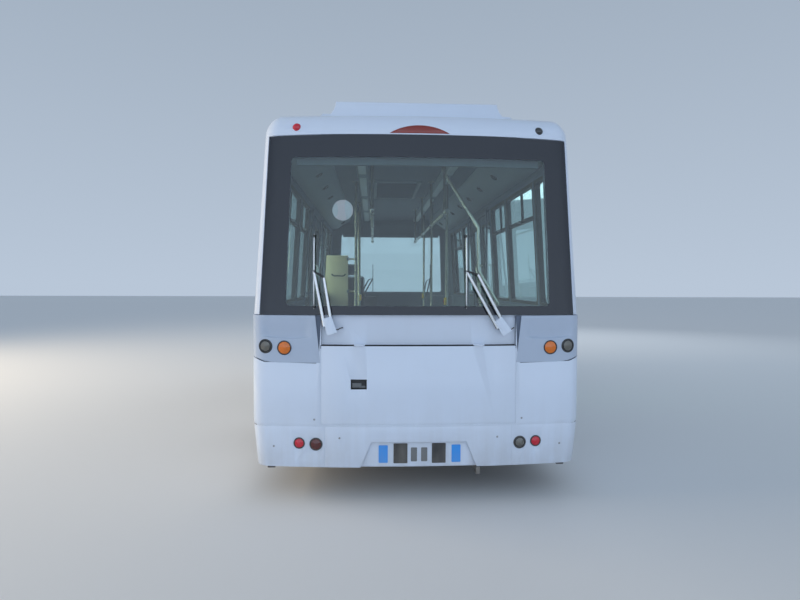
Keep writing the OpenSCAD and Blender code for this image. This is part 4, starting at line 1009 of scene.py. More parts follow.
for end, turn in BOTH_ENDS:
    for kind, mesh, material in zip(("arms", "blades", "caps"), wiper_meshes(turn), (WIPER, BLACK_PLASTIC, SKY_SHADED_WHITE)):
        add_piece("%s_wiper_%s" % (end, kind), mesh, material, (end + "_wipers",))


# Tyres and wheels.
LUG_COUNT = 58


def tyre_mesh():
    """One tyre about X: turned carcass, and tread blocks by rings of pieces."""
    half, floor_r = TYRE_W / 2, TYRE_R - 0.011
    outer = [(RIM_R + 0.0005, -half + 0.022), (RIM_R + 0.012, -half + 0.01), (RIM_R + 0.016, -half + 0.012),
             (RIM_R + 0.022, -half + 0.006), (RIM_R + 0.045, -half + 0.003), (0.3, -half), (0.318, -half),
             (0.33, -half + 0.002), (0.345, -half + 0.006), (0.352, -half + 0.011), (0.3575, -half + 0.014),
             (0.366, -half + 0.02), (floor_r, -half + 0.03)]
    profile = outer + [(r, -x) for r, x in reversed(outer)] + [(RIM_R + 0.006, 0.0), outer[0]]
    parts = [lathe(profile, 96, "X")]
    arc = 2 * math.pi / LUG_COUNT
    for middle, wide, skew in ((-0.078, 0.036, 0.012), (-0.037, 0.032, -0.008), (0.0, 0.028, 0.008),
                               (0.037, 0.032, -0.008), (0.078, 0.036, 0.012)):
        form = bmesh.new()
        rows = []
        for along in (-0.43, 0.43):
            row = []
            for across in (-0.5, 0.5):
                angle = arc * along
                drop = 0.004 if abs(middle) > 0.07 and across * middle > 0 else 0.0
                for radius in (floor_r - 0.003, TYRE_R - 0.0006 - drop):
                    row.append(form.verts.new((
                        radius * math.cos(angle) - TYRE_R + 0.01, radius * math.sin(angle) + skew * across,
                        middle + wide * across)))
            rows.append(row)
        (a, b, c, d), (e, f, g, h) = rows
        for face in ((a, b, d, c), (e, g, h, f), (b, f, h, d), (a, e, f, b), (c, d, h, g)):
            form.faces.new(face)
        parts.append(placed(grown(RING_TREE, to_mesh(form), TYRE, count=LUG_COUNT, radius=TYRE_R - 0.01),
                            turned(90, "Y")))
    return painted(joined(parts), TYRE)


ONE_TYRE = tyre_mesh()


def hex_nut():
    """A wheel nut about X with its stud."""
    return joined([lathe(mm("0 -4, 18.6 -4, 18.6 2, 15 4, 15 19.8, 12 22, 0 22"), 6, "X"),
                   lathe(mm("0 19.8, 9 19.8, 9 33, 7 35.2, 0 35.2"), 12, "X")])


def wheel_body(end, side):
    """Name of the body that a wheel turns with."""
    return "%s_wheel_%s" % (end, side)


# Each axle's end: name, place across and along of its outer wheel, seat of the nuts and of the cap from there.
AXLE_ENDS = (("front", FRONT_X, FRONT_Y, 0.057, 0.108), ("rear", REAR_X + TWIN_GAP / 2, REAR_Y, -0.051, 0.06))

for side, s in SIDES:
    for end, y, places in (("front", FRONT_Y, (s * FRONT_X,)),
                           ("rear", REAR_Y, [s * REAR_X + k * TWIN_GAP / 2 for k in (-1, 1)])):
        treads = [placed(ONE_TYRE.copy(), at(x, y, AXLE_Z)) for x in places]
        add_piece("tyre_%s_%s_tread" % (end, side), treads, TYRE, ("tyre_%s_%s" % (end, side),), 35,
                  body=wheel_body(end, side))
    for end, x, y, seat_x, _ in AXLE_ENDS:
        nuts = grown(RING_TREE, placed(hex_nut(), turned(-90, "Y")), STEEL, count=8, radius=0.105)
        nuts = placed(nuts, at(s * (x + seat_x), y, AXLE_Z) @ mirrored(s) @ turned(90, "Y"))
        add_piece("wheel_nuts_%s_%s" % (end, side), nuts, STEEL, body=wheel_body(end, side))


# Windows and doors.
def frame_sheet(u0, w0, u1, w1, wide, radius, outside, inside_depth, place):
    """A frame of even width that fills an opening's edge and has rounded inner corners."""
    hole = rect(u0 + wide, w0 + wide, u1 - wide, w1 - wide, radius)
    return sheet(rect(u0, w0, u1, w1), hole, outside, inside_depth, place, step=LONG)


POST_W, HOPPER_Z, TRIM, LONG = 0.045, 2.262, 0.0008, 3  # a step longer than any pane makes one cell of it


def panes(y0, length, a, b):
    """Three panes in a long window, with posts at two shares of its length."""
    return [(y0, y0 + a * length), (y0 + a * length + POST_W, y0 + b * length),
            (y0 + b * length + POST_W, y0 + length)]


WINDOWS = panes(-3.04, 2.41, 0.216, 0.672) + panes(0.93, 2.11, 0.341, 0.791)
for side, s in SIDES:
    place = side_place(s)
    seals, frames, catches = [], [], []
    for y0, y1 in WINDOWS:
        z0, z1 = WINDOW_Z0 + TRIM, WINDOW_Z1 - TRIM
        y0, y1 = y0 + TRIM, y1 - TRIM
        seals.append(frame_sheet(y0, z0, y1, z1, 0.022, 0.045, 0.0012, 0.0041, place))
        frames.append(frame_sheet(y0, z0, y1, z1, 0.034, 0.05, 0.0119, 0.058, place))
        if y1 - y0 > 0.6:
            # Opening top pane: a bar outside and inside, a middle slide and its catch.
            middle = (y0 + y1) / 2
            bar = rect(y0 + 0.015, HOPPER_Z, y1 - 0.015, HOPPER_Z + 0.036)
            slide = rect(middle - 0.01, HOPPER_Z + 0.03, middle + 0.01, z1 - 0.015)
            for outline, reach in ((bar, 0.04), (slide, 0.03)):
                seals.append(sheet(outline, None, 0.0016, 0.0041, place, step=LONG))
                frames.append(sheet(outline, None, 0.0119, reach, place, step=LONG))
            catch = block((-0.018, -0.035, -0.01), (0.018, 0.035, 0.01), 0.004)
            catches.append(placed(catch, at(*place(middle, HOPPER_Z + 0.02, 0.05))))
    add_piece("window_seals_" + side, seals, RUBBER)
    add_piece("window_frames_" + side, frames, BLACK_PLASTIC)
    add_piece("window_catches_" + side, catches, STEEL)
    near, far = DOOR_Y - DOOR_W / 2, DOOR_Y + DOOR_W / 2
    opening = sheet(rect(near + TRIM, DOOR_Z0 - 0.004, far - TRIM, DOOR_Z1 + 0.004),
                    rect(near + 0.005, DOOR_Z0 - 0.0005, far - 0.005, DOOR_Z1 + 0.0005), 0.006, 0.034, place,
                    step=0.3)
    add_piece("door_seal_" + side, opening, RUBBER)
    sill = placed(block((-0.035, -DOOR_W / 2 + 0.05, -0.0005), (0.035, DOOR_W / 2 - 0.05, 0.004), 0.002),
                  at(s * 1.16, DOOR_Y, FLOOR_Z))
    add_piece("door_step_edge_" + side, sill, YELLOW)
    for end, e in ENDS:
        body = "leaf_%s_%s" % (side, end)
        edges = sorted((DOOR_Y + e * (DOOR_W / 2 - 0.068), DOOR_Y + e * (NOSE_GAP / 2 + 0.062)))
        y0, y1, z0, z1 = edges[0] + TRIM, edges[1] - TRIM, 0.56 + TRIM, 2.45 - TRIM
        bar = rect(y0 + 0.01, 1.356, y1 - 0.01, 1.452)
        trims = [frame_sheet(y0, z0, y1, z1, 0.02, 0.045, 0.0032, 0.0061, place),
                 sheet(bar, None, 0.0034, 0.0061, place, step=LONG),
                 frame_sheet(y0, z0, y1, z1, 0.03, 0.05, 0.0139, 0.043, place),
                 sheet(bar, None, 0.0139, 0.034, place, step=LONG)]
        add_piece("leaf_trim_%s_%s" % (side, end), trims, BLACK_PLASTIC, body=body)
        free = DOOR_Y + e * NOSE_GAP / 2
        section = mm("0.5 -14, -12 -12, -20.5 -5, -20.5 5, -12 12, 0.5 14")
        stations = [0.412, HIP_Z, 1.0, BELT_Z, BELT_Z + 0.001, 2.0, DOOR_Z1 - 0.002]
        nose = strip([(place(free, z, 0.022), (0, e, 0), (s, 0, 0)) for z in stations], section, closed=False)
        add_piece("leaf_nose_%s_%s" % (side, end), nose, RUBBER, turn=50, body=body)
        grip_y = DOOR_Y + e * 0.053
        line = [place(grip_y, z, depth) for z, depth in mm(
            "900 44, 900 75, 915 92, 940 98, 1300 98, 1700 113, 1860 119, 1885 113, 1900 96, 1900 44.5")]
        add_piece("leaf_grip_%s_%s" % (side, end), tube(line, 0.0135, 14), RAIL, body=body)

# Outside of the sides.
LAMP_Y = (-2.62, -0.86, 1.14, 2.8)
for side, s in SIDES:
    place = side_place(s)
    lips = []
    for y, radius in ((FRONT_Y, 0.505), (REAR_Y, 0.455)):
        low = math.asin((SKIRT_Z + 0.002 - AXLE_Z) / radius)
        loop = []
        for k in range(49):
            a = low + (math.pi - 2 * low) * k / 48
            across, up = math.cos(a), math.sin(a)
            loop.append((place(y + radius * across, AXLE_Z + radius * up, 0), (0, -across, -up), (s, 0, 0)))
        section = mm("-20 0, -18 5, 4 8, 8 4, 8 -45, 0.6 -45, 0.6 0")
        lips.append(strip(loop, section, closed=False))
    add_piece("arch_lips_" + side, lips, RUBBER, turn=40)
    gutter = strip([(place(y, 2.757, 0), (0, 0, 1), (s, 0, 0)) for y in (-3.08, -1.0, 1.0, 3.08)],
                   mm("-10 -1, -10 9, -4 13, 4 13, 5 10, -3 8, -3 -1"), closed=False)
    add_piece("gutter_" + side, gutter, SKY_SHADED_WHITE, turn=40)
    bases, lenses = [], []
    for y in LAMP_Y:
        seat = at(*place(y, 0.69, 0.0)) @ mirrored(s)
        bases.append(placed(block((-0.001, -0.052, -0.022), (0.006, 0.052, 0.022), 0.004), seat))
        lenses.append(placed(block((0.002, -0.044, -0.015), (0.013, 0.044, 0.015), 0.006, 3), seat))
    add_piece("side_lamp_bases_" + side, bases, BLACK_PLASTIC)
    add_piece("side_lamp_lenses_" + side, lenses, AMBER)
    locks = []
    for y in (-2.42, -0.98, 1.32, 2.62):
        seat = at(*place(y, 1.295, 0.0)) @ mirrored(s)
        locks.append(placed(lathe(mm("0 -1, 16 -1, 16 2, 13 4, 9 4, 8.5 1.5, 0 1.5"), 24, "X"), seat))
    add_piece("panel_locks_" + side, locks, STEEL)
# Air grille for the engine on the left, fuel flap on the right.
slat = placed(block((-0.004, -0.26, -0.0015), (0.01, 0.26, 0.0015), 0.001), turned(35, "Y"))
slats = grown(ROW, slat, BLACK_PLASTIC, count=13, start=(0.0, 0.0, -0.138), step=(0.0, 0.0, 0.023))
rim = strip(corner_loop(-0.268, -0.15, 0.268, 0.15, lambda y, z: (0, y, z), (1, 0, 0)),
            mm("0 -1, 22 -1, 22 4, 16 8, 3 8, 0 5"))
grille_at = at(-HALF_W, -2.78, 1.05) @ mirrored(-1)
backing = block((-0.003, -0.27, -0.152), (0.0012, 0.27, 0.152), 0.0005)
add_piece("air_grille", placed(joined([slats, painted(rim, BLACK_PLASTIC), painted(backing, BLACK_PLASTIC)]),
                               grille_at), BLACK_PLASTIC, turn=40)
flap_outline = rect(-2.67, 0.96, -2.47, 1.18, 0.022)
add_piece("fuel_flap", sheet(flap_outline, None, -0.003, 0.001, side_place(1)), SKY_SHADED_WHITE)
add_piece("fuel_flap_seam", sheet(rect(-2.676, 0.954, -2.464, 1.186, 0.025), None, -0.0012, 0.001, side_place(1)),
          RUBBER)
add_piece("fuel_flap_lock", placed(lathe(mm("0 0, 12 0, 12 2, 0 3"), 20, "X"), at(HALF_W + 0.003, -2.505, 1.07)),
          STEEL)


def mirror_place(x, z, depth):
    """Place on the face of a mirror."""
    return Vector((x, 3.1735 + depth, z))


faces = []
for s in (-1, 1):
    outline = rect(s * 1.395 - 0.088, 1.942, s * 1.395 + 0.088, 2.298, 0.036)
    faces.append(sheet(outline, None, 0.0, 0.002, mirror_place, step=0.5, rows=()))
add_piece("mirror_faces", faces, MIRROR)

# Things on the rear and front faces.
PLATE_DEPTHS = (0.0225, 0.0262)
for end, turn in BOTH_ENDS:
    if end == "rear":
        rows = ((PLATE_BLUE, 0.069, 0.285, 0.42, (-0.27, 0.286)),
                (PLATE_BLACK, 0.106, 0.281, 0.434, (-0.139, 0.153)),
                (PLATE_GREY, 0.047, 0.295, 0.402, (-0.0365, 0.0415)))
    else:
        rows = ((PLATE_GREY, 0.52, 0.297, 0.41, (0.0,)),)
    for material, wide, z0, z1, middles in rows:
        plates = [sheet(rect(x - wide / 2, z0, x + wide / 2, z1, 0.006), None, *PLATE_DEPTHS) for x in middles]
        add_piece("%s_%s" % (end, material.name), placed(joined(plates), turn), material)
    # Backing tray of the plates.
    tray = sheet(mm("-424 262, 424 262, 360 446, -360 446"), None, 0.0252, 0.0264, rear_place)
    add_piece(end + "_plate_tray", placed(tray, turn), SKY_SHADED_WHITE)
    # Latch in the lid: a dark cup with a paddle.
    lid = "rear_hatch" if end == "rear" else "front_flap"
    x0, x1, z0, z1, back = -0.515, -0.395, 0.8505, 0.9255, -3.4698
    cup = strip(corner_loop(x0, z0, x1, z1, lambda x, z: (x, -3.4805, z), (0, -1, 0)),
                mm("-0.5 6.2, -0.5 -6.5, -9 -6.5, -4 6.2"))
    floor_plate = block((x0 + 0.001, back - 0.0016, z0 + 0.001), (x1 - 0.001, back + 0.0002, z1 - 0.001))
    add_piece(lid + "_latch_cup", placed(joined([cup, floor_plate]), turn), BLACK_PLASTIC, body=lid)
    paddle = joined([block((x0 + 0.01, back - 0.01, z0 + 0.012), (x1 - 0.04, back - 0.001, z0 + 0.047), 0.003),
                     block((x1 - 0.055, back - 0.0085, z0 + 0.008), (x1 - 0.01, back - 0.001, z0 + 0.026), 0.003)])
    add_piece(lid + "_latch_paddle", placed(paddle, turn), IRON, body=lid)
    # Screw heads, and buffers under the bumper.
    heads = []
    for x, z in ((0.79, 0.62), (1.1, 0.41), (-0.79, 0.62), (-1.1, 0.41), (-0.6, 0.48), (0.6, 0.48)):
        seat = at(*rear_place(x, z, 0)) @ Matrix.Rotation(math.asin(x / BIG_R), 4, "Z")
        head = lathe(mm("0 0.5, 7.5 0.5, 7.5 -1.5, 5 -3, 0 -3.4"), 20, "Y")
        heads.append(placed(head, seat @ Matrix.Scale(-1, 4, (0, 1, 0))))
    add_piece(end + "_screws", placed(joined(heads), turn), STEEL)
    buffers = []
    for x in (-1.13, 1.13):
        y = -end_y(x, 0.33, 0.0596)
        buffers.append(block((x - 0.03, y, 0.222), (x + 0.03, y + 0.034, 0.39), 0.005))
    add_piece(end + "_buffers", placed(joined(buffers), turn), RUBBER)
    # A seal runs along the wiper panel's lower edge.
    line = [(rear_place(-0.735 + 1.47 * k / 24, 1.1815, 0.03), (0, 0, 1), (0, -1, 0)) for k in range(25)]
    weather = strip(line, mm("-4 -4, 2 -4, 3.5 1, 0 5, -4 2"), closed=False)
    add_piece(end + "_lid_seal", placed(weather, turn), RUBBER, turn=50)
disc = [(0.078 * math.cos(a) - 0.578, 2.196 + 0.078 * math.sin(a)) for a in angles(48)]
add_piece("round_sticker", sheet(disc, None, 0.0081, 0.0088, rear_place, step=0.08), STICKER)

# Inside: lights, rails, partition.
for end, turn in BOTH_ENDS:
    header = sheet(rect(-0.935, 2.548, 0.935, 2.602), None, 0.0605, 0.1, rear_place, step=0.08)
    add_piece(end + "_header", placed(header, turn), HEADER if end == "rear" else SHADED_LINING)
TRUNK_X = 0.465
diffusers = [block((x - 0.04, y - 0.62, CEILING_Z - 0.076), (x + 0.04, y + 0.62, CEILING_Z - 0.0645), 0.006, 3)
             for x in (-TRUNK_X, TRUNK_X) for y in (-2.25, -0.75, 0.75, 2.25)]
add_piece("light_diffusers", diffusers, GLOW)
# Return air grille in the ceiling: a frame with a row of slats.
GRILLE_X0, GRILLE_X1, GRILLE_Y0, GRILLE_Y1 = -0.34, 0.24, -0.85, 0.44
rim = strip(corner_loop(GRILLE_X0, GRILLE_Y0, GRILLE_X1, GRILLE_Y1, lambda x, y: (x, y, CEILING_Z), (0, 0, -1)),
            mm("-40 -0.5, -40 18, -34 22, -6 22, 0 16, 0 -0.5"))
slat = placed(block((-0.26, -0.01, -0.0015), (0.26, 0.01, 0.0015), 0.001), turned(40, "X"))
slats = grown(ROW, slat, SHADED_LINING, count=38, step=(0.0, 0.0318, 0.0),
              start=((GRILLE_X0 + GRILLE_X1) / 2, GRILLE_Y0 + 0.055, CEILING_Z - 0.01))
add_piece("ceiling_grille_frame", rim, DUCT)
add_piece("ceiling_grille_slats", slats, SHADED_LINING)
# Air nozzles along the side ducts.
nozzle = lathe(mm("0 4, 20 4, 24 10, 34 12, 42 6, 44 -1, 0 -1"), 28, "Z")
tilt = turned(180 + 33, "Y")
nozzles = []
for s in (-1, 1):
    row = grown(ROW, placed(nozzle.copy(), tilt), BLACK_PLASTIC, count=8, start=(0.905, -2.62, CEILING_Z - 0.135),
                step=(0.0, 0.75, 0.0))
    nozzles.append(placed(row, mirrored(s)))
add_piece("duct_nozzles", nozzles, BLACK_PLASTIC)


def flange(radius, place, down=False):
    """Foot of a rail with three screws."""
    section = mm("0.2 0, 30 0, 30 4, 24 7, 10 9, 4 22, 0.2 24, 0.2 0")
    parts = [lathe([(radius + wide, along) for wide, along in section], 28, "Z")]
    for a in angles(3):
        seat = at((radius + 0.02) * math.cos(a), (radius + 0.02) * math.sin(a), 0.006)
        parts.append(placed(lathe(mm("0 0, 5 0, 4 4, 0 4.5"), 10, "Z"), seat))
    return placed(joined(parts), at(*place) @ turned(180 if down else 0, "X"))


POST_R, LINE_X, LINE_Z = 0.017, 0.36, 2.35
POSTS = mm("-560 -800, 560 -800, -560 1000, 560 1000, 560 2300")
HANGER_Y = [-2.1 + 3.8 / 3 * i for i in range(4)]
fittings, buttons = [], []
for x, y in POSTS:
    fittings += [flange(POST_R, (x, y, FLOOR_Z)), flange(POST_R, (x, y, CEILING_Z), True)]
    if x * y < 0 or y > 2:
        inward = -math.copysign(1, x)
        middle = x + inward * 0.016
        case = block((middle - 0.016, y - 0.024, 1.38), (middle + 0.016, y + 0.024, 1.47), 0.008, 3)
        buttons.append(painted(case, YELLOW))
        push = lathe(mm("0 0, 14 0, 13 5, 8 7, 0 7.5"), 24, "X")
        seat = at(x + inward * 0.032, y, 1.425) @ mirrored(inward)
        buttons.append(painted(placed(push, seat), RED))
for s in (-1, 1):
    for y in HANGER_Y:
        sleeve = lathe(mm("17.2 -34, 21 -34, 22.5 -28, 22.5 28, 21 34, 17.2 34, 17.2 -34"), 24, "Y")
        fittings.append(placed(sleeve, at(s * LINE_X, y, LINE_Z)))
        fittings.append(flange(0.0137, (s * LINE_X, y, CEILING_Z), True))
    for y, k in ((-2.3, -1), (1.9, 1)):
        cap = lathe(mm("0 12, 10 10, 16.5 4, 18 0, 18 -20, 17.2 -20, 17.2 0, 0 0"), 24, "Z")
        fittings.append(placed(cap, at(s * LINE_X, y, LINE_Z) @ turned(-90 * k, "X")))
add_piece("rail_fittings", fittings, STEEL)
for name, material in (("stop_button_cases", YELLOW), ("stop_buttons", RED)):
    add_piece(name, [part for part in buttons if part.materials[0] == material], material)
# Grab handle on the partition.
handle = tube(mm("-1070 2185.5 1800, -1070 2150 1800, -1060 2136 1790, -1035 2132 1772, -870 2132 1770, "
                 "-845 2136 1785, -838 2150 1800, -838 2185.5 1800"), 0.011, 12)
add_piece("partition_handle", handle, BLACK_PLASTIC)
hinge = [block((-0.812, 2.176, z - 0.03), (-0.776, 2.218, z + 0.03), 0.005) for z in (1.08, 1.5, 2.07)]
add_piece("partition_brackets", hinge, STEEL)


# Driver's place.
def seat_cloth():
    """Woven cloth for the driver's seat."""
    material, tree, shader = plain_material("seat_cloth", (0.05, 0.07, 0.13))
    weave = wire(tree, "ShaderNodeGroup", {"Color": (0.045, 0.065, 0.125, 1), "Fleck Color": (0.2, 0.23, 0.32, 1),
                                           "Threads": 240.0}, node_tree=WEAVE).outputs
    fill(tree, shader, {"Base Color": weave["Color"], "Normal": weave["Normal"], "Roughness": 0.92,
                        "Sheen Weight": 0.35})
    return material


CLOTH = seat_cloth()
SEAT_AT = at(-0.72, 2.48, STEP_Z)
BACK_AT = SEAT_AT @ at(0, 0, 0.4) @ turned(10, "X")
PUFF_CAP, CLOTH_FRAMES = 0.011, 20
SEAM_DEPTH, SEAM_W = 0.006, 0.007


def puffed(mesh):
    """The mesh after a cloth simulation with pressure, with no point moved further than the cap."""
    mesh = finished(mesh, ("REMESH", {"mode": "VOXEL", "voxel_size": 0.006}))
    start = [vert.co.copy() for vert in mesh.vertices]
    obj = linked("cushion", mesh)
    cloth = obj.modifiers.new("cloth", "CLOTH")
    cloth.settings.quality = 4
    cloth.settings.mass = 0.3
    cloth.settings.use_pressure = True
    cloth.settings.uniform_pressure_force = 4.0
    cloth.settings.effector_weights.gravity = 0.0
    for frame_number in range(1, CLOTH_FRAMES + 1):
        SCENE.frame_set(frame_number)
    mesh = evaluated(obj)
    SCENE.frame_set(1)
    for vert, place in zip(mesh.vertices, start):
        move = vert.co - place
        if move.length > PUFF_CAP:
            vert.co = place + move * (PUFF_CAP / move.length)
    return mesh


def sewn(mesh, seams):
    """Channels pressed into a cushion: each seam is (axis, place, axis that it presses along, its sign)."""
    for vert in mesh.vertices:
        for axis, place, along, sign in seams:
            if vert.normal[along] * sign > 0.35:
                vert.co[along] -= sign * SEAM_DEPTH * math.exp(-(((vert.co[axis] - place) / SEAM_W) ** 2))
    return finished(mesh, ("SUBSURF", {"levels": 1, "render_levels": 1}),
                    ("SMOOTH", {"factor": 0.5, "iterations": 2}))


def piping(half_x, low, high, corner, across):
    """Sewn cord round a cushion's edge: a rounded rectangle in X and the across axis."""
    outline = rounded_outline([(-half_x, low), (half_x, low), (half_x, high), (-half_x, high)], corner, 6)
    points = [Vector((u, w, across[1])) if across[0] == "Z" else Vector((u, across[1], w)) for u, w in outline]
    points.append(points[0])
    return tube(points, 0.0045, 10)


CUSHIONS = [  # name, low corner, high corner, place, seams, piping
    ("driver_seat_pan", (-0.224, -0.024, 0.302), (0.224, 0.386, 0.408), SEAT_AT,
     [(0, -0.135, 2, 1), (0, 0.135, 2, 1), (1, 0.15, 2, 1)], (0.229, -0.028, 0.391, 0.05, ("Z", 0.352))),
    ("driver_seat_back", (-0.21, -0.046, 0.015), (0.21, 0.046, 0.675), BACK_AT,
     [(0, -0.125, 1, 1), (0, 0.125, 1, 1), (2, 0.22, 1, 1), (2, 0.42, 1, 1)],
     (0.214, 0.012, 0.679, 0.06, ("Y", 0.0))),
    ("driver_head_rest", (-0.118, -0.038, 0.705), (0.118, 0.028, 0.888), BACK_AT, [],
     (0.121, 0.702, 0.891, 0.04, ("Y", -0.005)))]
for name, low, high, place, seams, cord in CUSHIONS:
    pad = sewn(puffed(block(low, high, 0.032, 5)), seams)
    piece = add_piece(name, placed(pad, place), CLOTH, ("driver_seat",), 60)
    add_piece(name + "_piping", placed(piping(*cord), place), BLACK_PLASTIC, ("driver_seat",), 60)
frame_parts = [block((-0.2, 0.0, 0.0), (0.2, 0.29, 0.022), 0.006),
               block((-0.215, -0.03, 0.276), (0.215, 0.37, 0.3), 0.01)]
for k in range(5):
    z = 0.03 + 0.048 * k
    frame_parts.append(block((-0.158, 0.024, z), (0.158, 0.256, z + 0.046), 0.02, 3))
frame_parts += [block((-0.235, 0.06, 0.255), (-0.218, 0.3, 0.305), 0.006),
                tube(mm("200 375 285, 200 400 285, 60 405 282, 60 385 285"), 0.007, 10)]
back_parts = [block((-0.205, -0.0595, 0.03), (0.205, -0.044, 0.66), 0.007)]
back_parts += [tube([(x, -0.006, 0.66), (x, -0.006, 0.725)], 0.007, 12) for x in (-0.06, 0.06)]
add_piece("driver_seat_frame", [placed(joined(frame_parts), SEAT_AT), placed(joined(back_parts), BACK_AT)],
          BLACK_PLASTIC, ("driver_seat",))

# Dashboard: dials under their hood, switches, stalks and pedals; the horn button turns with the wheel.
DASH_Y, DRIVER_X = 3.06, -0.72
dials, faces, rings = [], [], []
for x, radius in ((-0.835, 0.058), (-0.605, 0.058), (-0.72, 0.034)):
    seat = at(x, DASH_Y - 0.018, 1.366 if radius > 0.05 else 1.348) @ turned(52, "X")
    section = [(radius + wide, along) for wide, along in mm("0 -12, 7 -12, 7 4, 3 7, 0 4, 0 -12")]
    rings.append(placed(lathe(section, 40, "Z"), seat))
    faces.append(placed(lathe([(0.0, -0.006), (radius, -0.006), (radius, 0.0), (0.0, 0.0)], 40, "Z"), seat))
    needle = block((-0.0015, -0.006, 0.001), (0.0015, radius * 0.8, 0.003), 0.0005)
    dials.append(placed(needle, seat @ turned(130, "Z")))
    for degrees in range(-130, 131, 26):
        tick = block((-0.001, radius * 0.82, 0.0002), (0.001, radius * 0.96, 0.001), 0.0002, 1)
        dials.append(placed(tick, seat @ turned(degrees, "Z")))
add_piece("dial_faces", faces, DIAL)
add_piece("dial_rings", rings, BLACK_PLASTIC)
add_piece("dial_marks", dials, STICKER)
upper = placed(block((-0.013, -0.009, -0.001), (0.013, 0.009, 0.006), 0.0025), turned(8, "X"))
switches = [grown(ROW, upper.copy(), BLACK_PLASTIC, count=7, start=(-0.52, DASH_Y + 0.1 + 0.05 * k, 1.386),
                  step=(0.034, 0.0, 0.0)) for k in range(2)]
add_piece("dash_switches", switches, BLACK_PLASTIC)
arch = [((DRIVER_X + 0.215 * math.cos(a), DASH_Y + 0.045, 1.372 + 0.085 * math.sin(a)),
         (math.cos(a), 0, math.sin(a)), (0, -1, 0)) for a in angles(25, 48)]
hood = strip(arch, mm("-6 -50, 6 -50, 8 85, 0 95, -6 85"), closed=False)
add_piece("dial_hood", hood, DASH, turn=50)
COLUMN = at(DRIVER_X, DASH_Y - 0.19, 1.43) @ turned(30, "X")
stalks = []
for s in (-1, 1):
    line = [(s * 0.04, 0.0, -0.075), (s * 0.11, 0.006, -0.07), (s * 0.165, 0.012, -0.06)]
    stalks.append(placed(tube(line, [0.007, 0.006, 0.009], 12), COLUMN))
sleeve = lathe(mm("26.5 -100, 46 -100, 50 -85, 50 -62, 44 -50, 26.5 -50, 26.5 -100"), 32, "Z")
add_piece("column_sleeve", [placed(sleeve, COLUMN)] + stalks, BLACK_PLASTIC)
horn = lathe(mm("0 15.5, 34 15.5, 34 18, 28 21, 0 23"), 32, "Z")
add_piece("horn_button", placed(horn, COLUMN), DASH, body=BODY_OF["steering_wheel"])
pedals = []
for x, tall in ((-0.8, 0.1), (-0.64, 0.15)):
    seat = at(x, 2.99, STEP_Z + 0.09) @ turned(-35, "X")
    pedals.append(placed(block((-0.035, -0.006, -tall / 2), (0.035, 0.006, tall / 2), 0.005), seat))
    for k in range(5):
        z = -tall * 0.36 + tall * 0.18 * k
        pedals.append(placed(block((-0.03, -0.0095, z - 0.003), (0.03, -0.004, z + 0.003), 0.0015, 1), seat))
    pedals.append(tube([(x, 2.995, STEP_Z + 0.09), (x, 3.03, STEP_Z + 0.14), (x, 3.061, STEP_Z + 0.17)], 0.008, 10))
add_piece("pedals", pedals, BLACK_PLASTIC)

# Roof.
FAN_Y = (-2.62, -0.92)


def roof_pod():
    """The pod with its two fan wells cut in."""
    mesh = cad_mesh("roof_pod")
    for y in FAN_Y:
        well = lathe(mm("0 -60, 255 -60, 275 20, 0 20"), 48, "Z")
        mesh = bored(mesh, placed(well, at(0, y, POD_TOP_Z)))
    return finished(mesh, edge_bevel(0.01, 3, 25))


add_piece("roof_pod_shell", roof_pod(), SKY_SHADED_WHITE, ("roof_pod",), 28)
guards, fans = [], []
for y in FAN_Y:
    seat = at(0, y, POD_TOP_Z)
    for radius in (0.05, 0.09, 0.13, 0.17, 0.21, 0.25):
        ring = [(radius * math.cos(a), radius * math.sin(a), -0.0045) for a in angles(41, 40)]
        guards.append(placed(tube(ring, 0.0025, 6), seat))
    for k in range(4):
        across, along = 0.262 * math.cos(math.pi / 4 * k), 0.262 * math.sin(math.pi / 4 * k)
        guards.append(placed(tube([(-across, -along, -0.008), (across, along, -0.008)], 0.003, 6), seat))
    hub = lathe(mm("0 -55, 55 -55, 55 -22, 45 -16, 0 -15"), 28, "Z")
    fans.append(placed(hub, seat))
    blade = placed(block((0.05, -0.035, -0.0015), (0.235, 0.035, 0.0015), 0.001), at(0, 0, -0.036) @ turned(24, "X"))
    fans += [placed(blade.copy(), seat @ Matrix.Rotation(a, 4, "Z")) for a in angles(7)]
add_piece("pod_fan_guards", guards, BLACK_PLASTIC, ("roof_pod",))
add_piece("pod_fans", fans, BLACK_PLASTIC, ("roof_pod",))
POD_Y0, POD_Y1, POD_X, HATCH_Y = -3.2, -0.3, 0.76, 1.5
skirt = strip(corner_loop(-POD_X, POD_Y0 + 0.058, POD_X, POD_Y1, lambda x, y: (x, y, ROOF_Z), (0, 0, 1)),
              mm("-12 -0.5, 74 -0.5, 74 2.5, 52 6, 30 14, 10 28, -6 50, -12 50"))
add_piece("pod_flange", skirt, SKY_SHADED_WHITE, ("roof_pod",), 40)
screw = lathe(mm("0 0, 7 0, 6 3.5, 0 4.5"), 12, "Z")
rows = [grown(ROW, screw.copy(), STEEL, count=15, start=(s * (POD_X + 0.064), POD_Y0 + 0.05, ROOF_Z + 0.003),
              step=(0.0, 0.2, 0.0)) for s in (-1, 1)]
add_piece("pod_screws", rows, STEEL)
hatch_seal = strip(corner_loop(-0.38, HATCH_Y - 0.38, 0.38, HATCH_Y + 0.38, lambda x, y: (x, y, ROOF_Z), (0, 0, 1)),
                   mm("0.2 -0.5, 14 -0.5, 14 8, 6 14, 0.2 14"))
add_piece("roof_hatch_seal", hatch_seal, RUBBER, turn=40)
handle = tube(mm("-90 1500 2985.5, -90 1500 3004, -75 1500 3012, 75 1500 3012, 90 1500 3004, 90 1500 2985.5"),
              0.007, 10)
add_piece("roof_hatch_handle", handle, BLACK_PLASTIC)

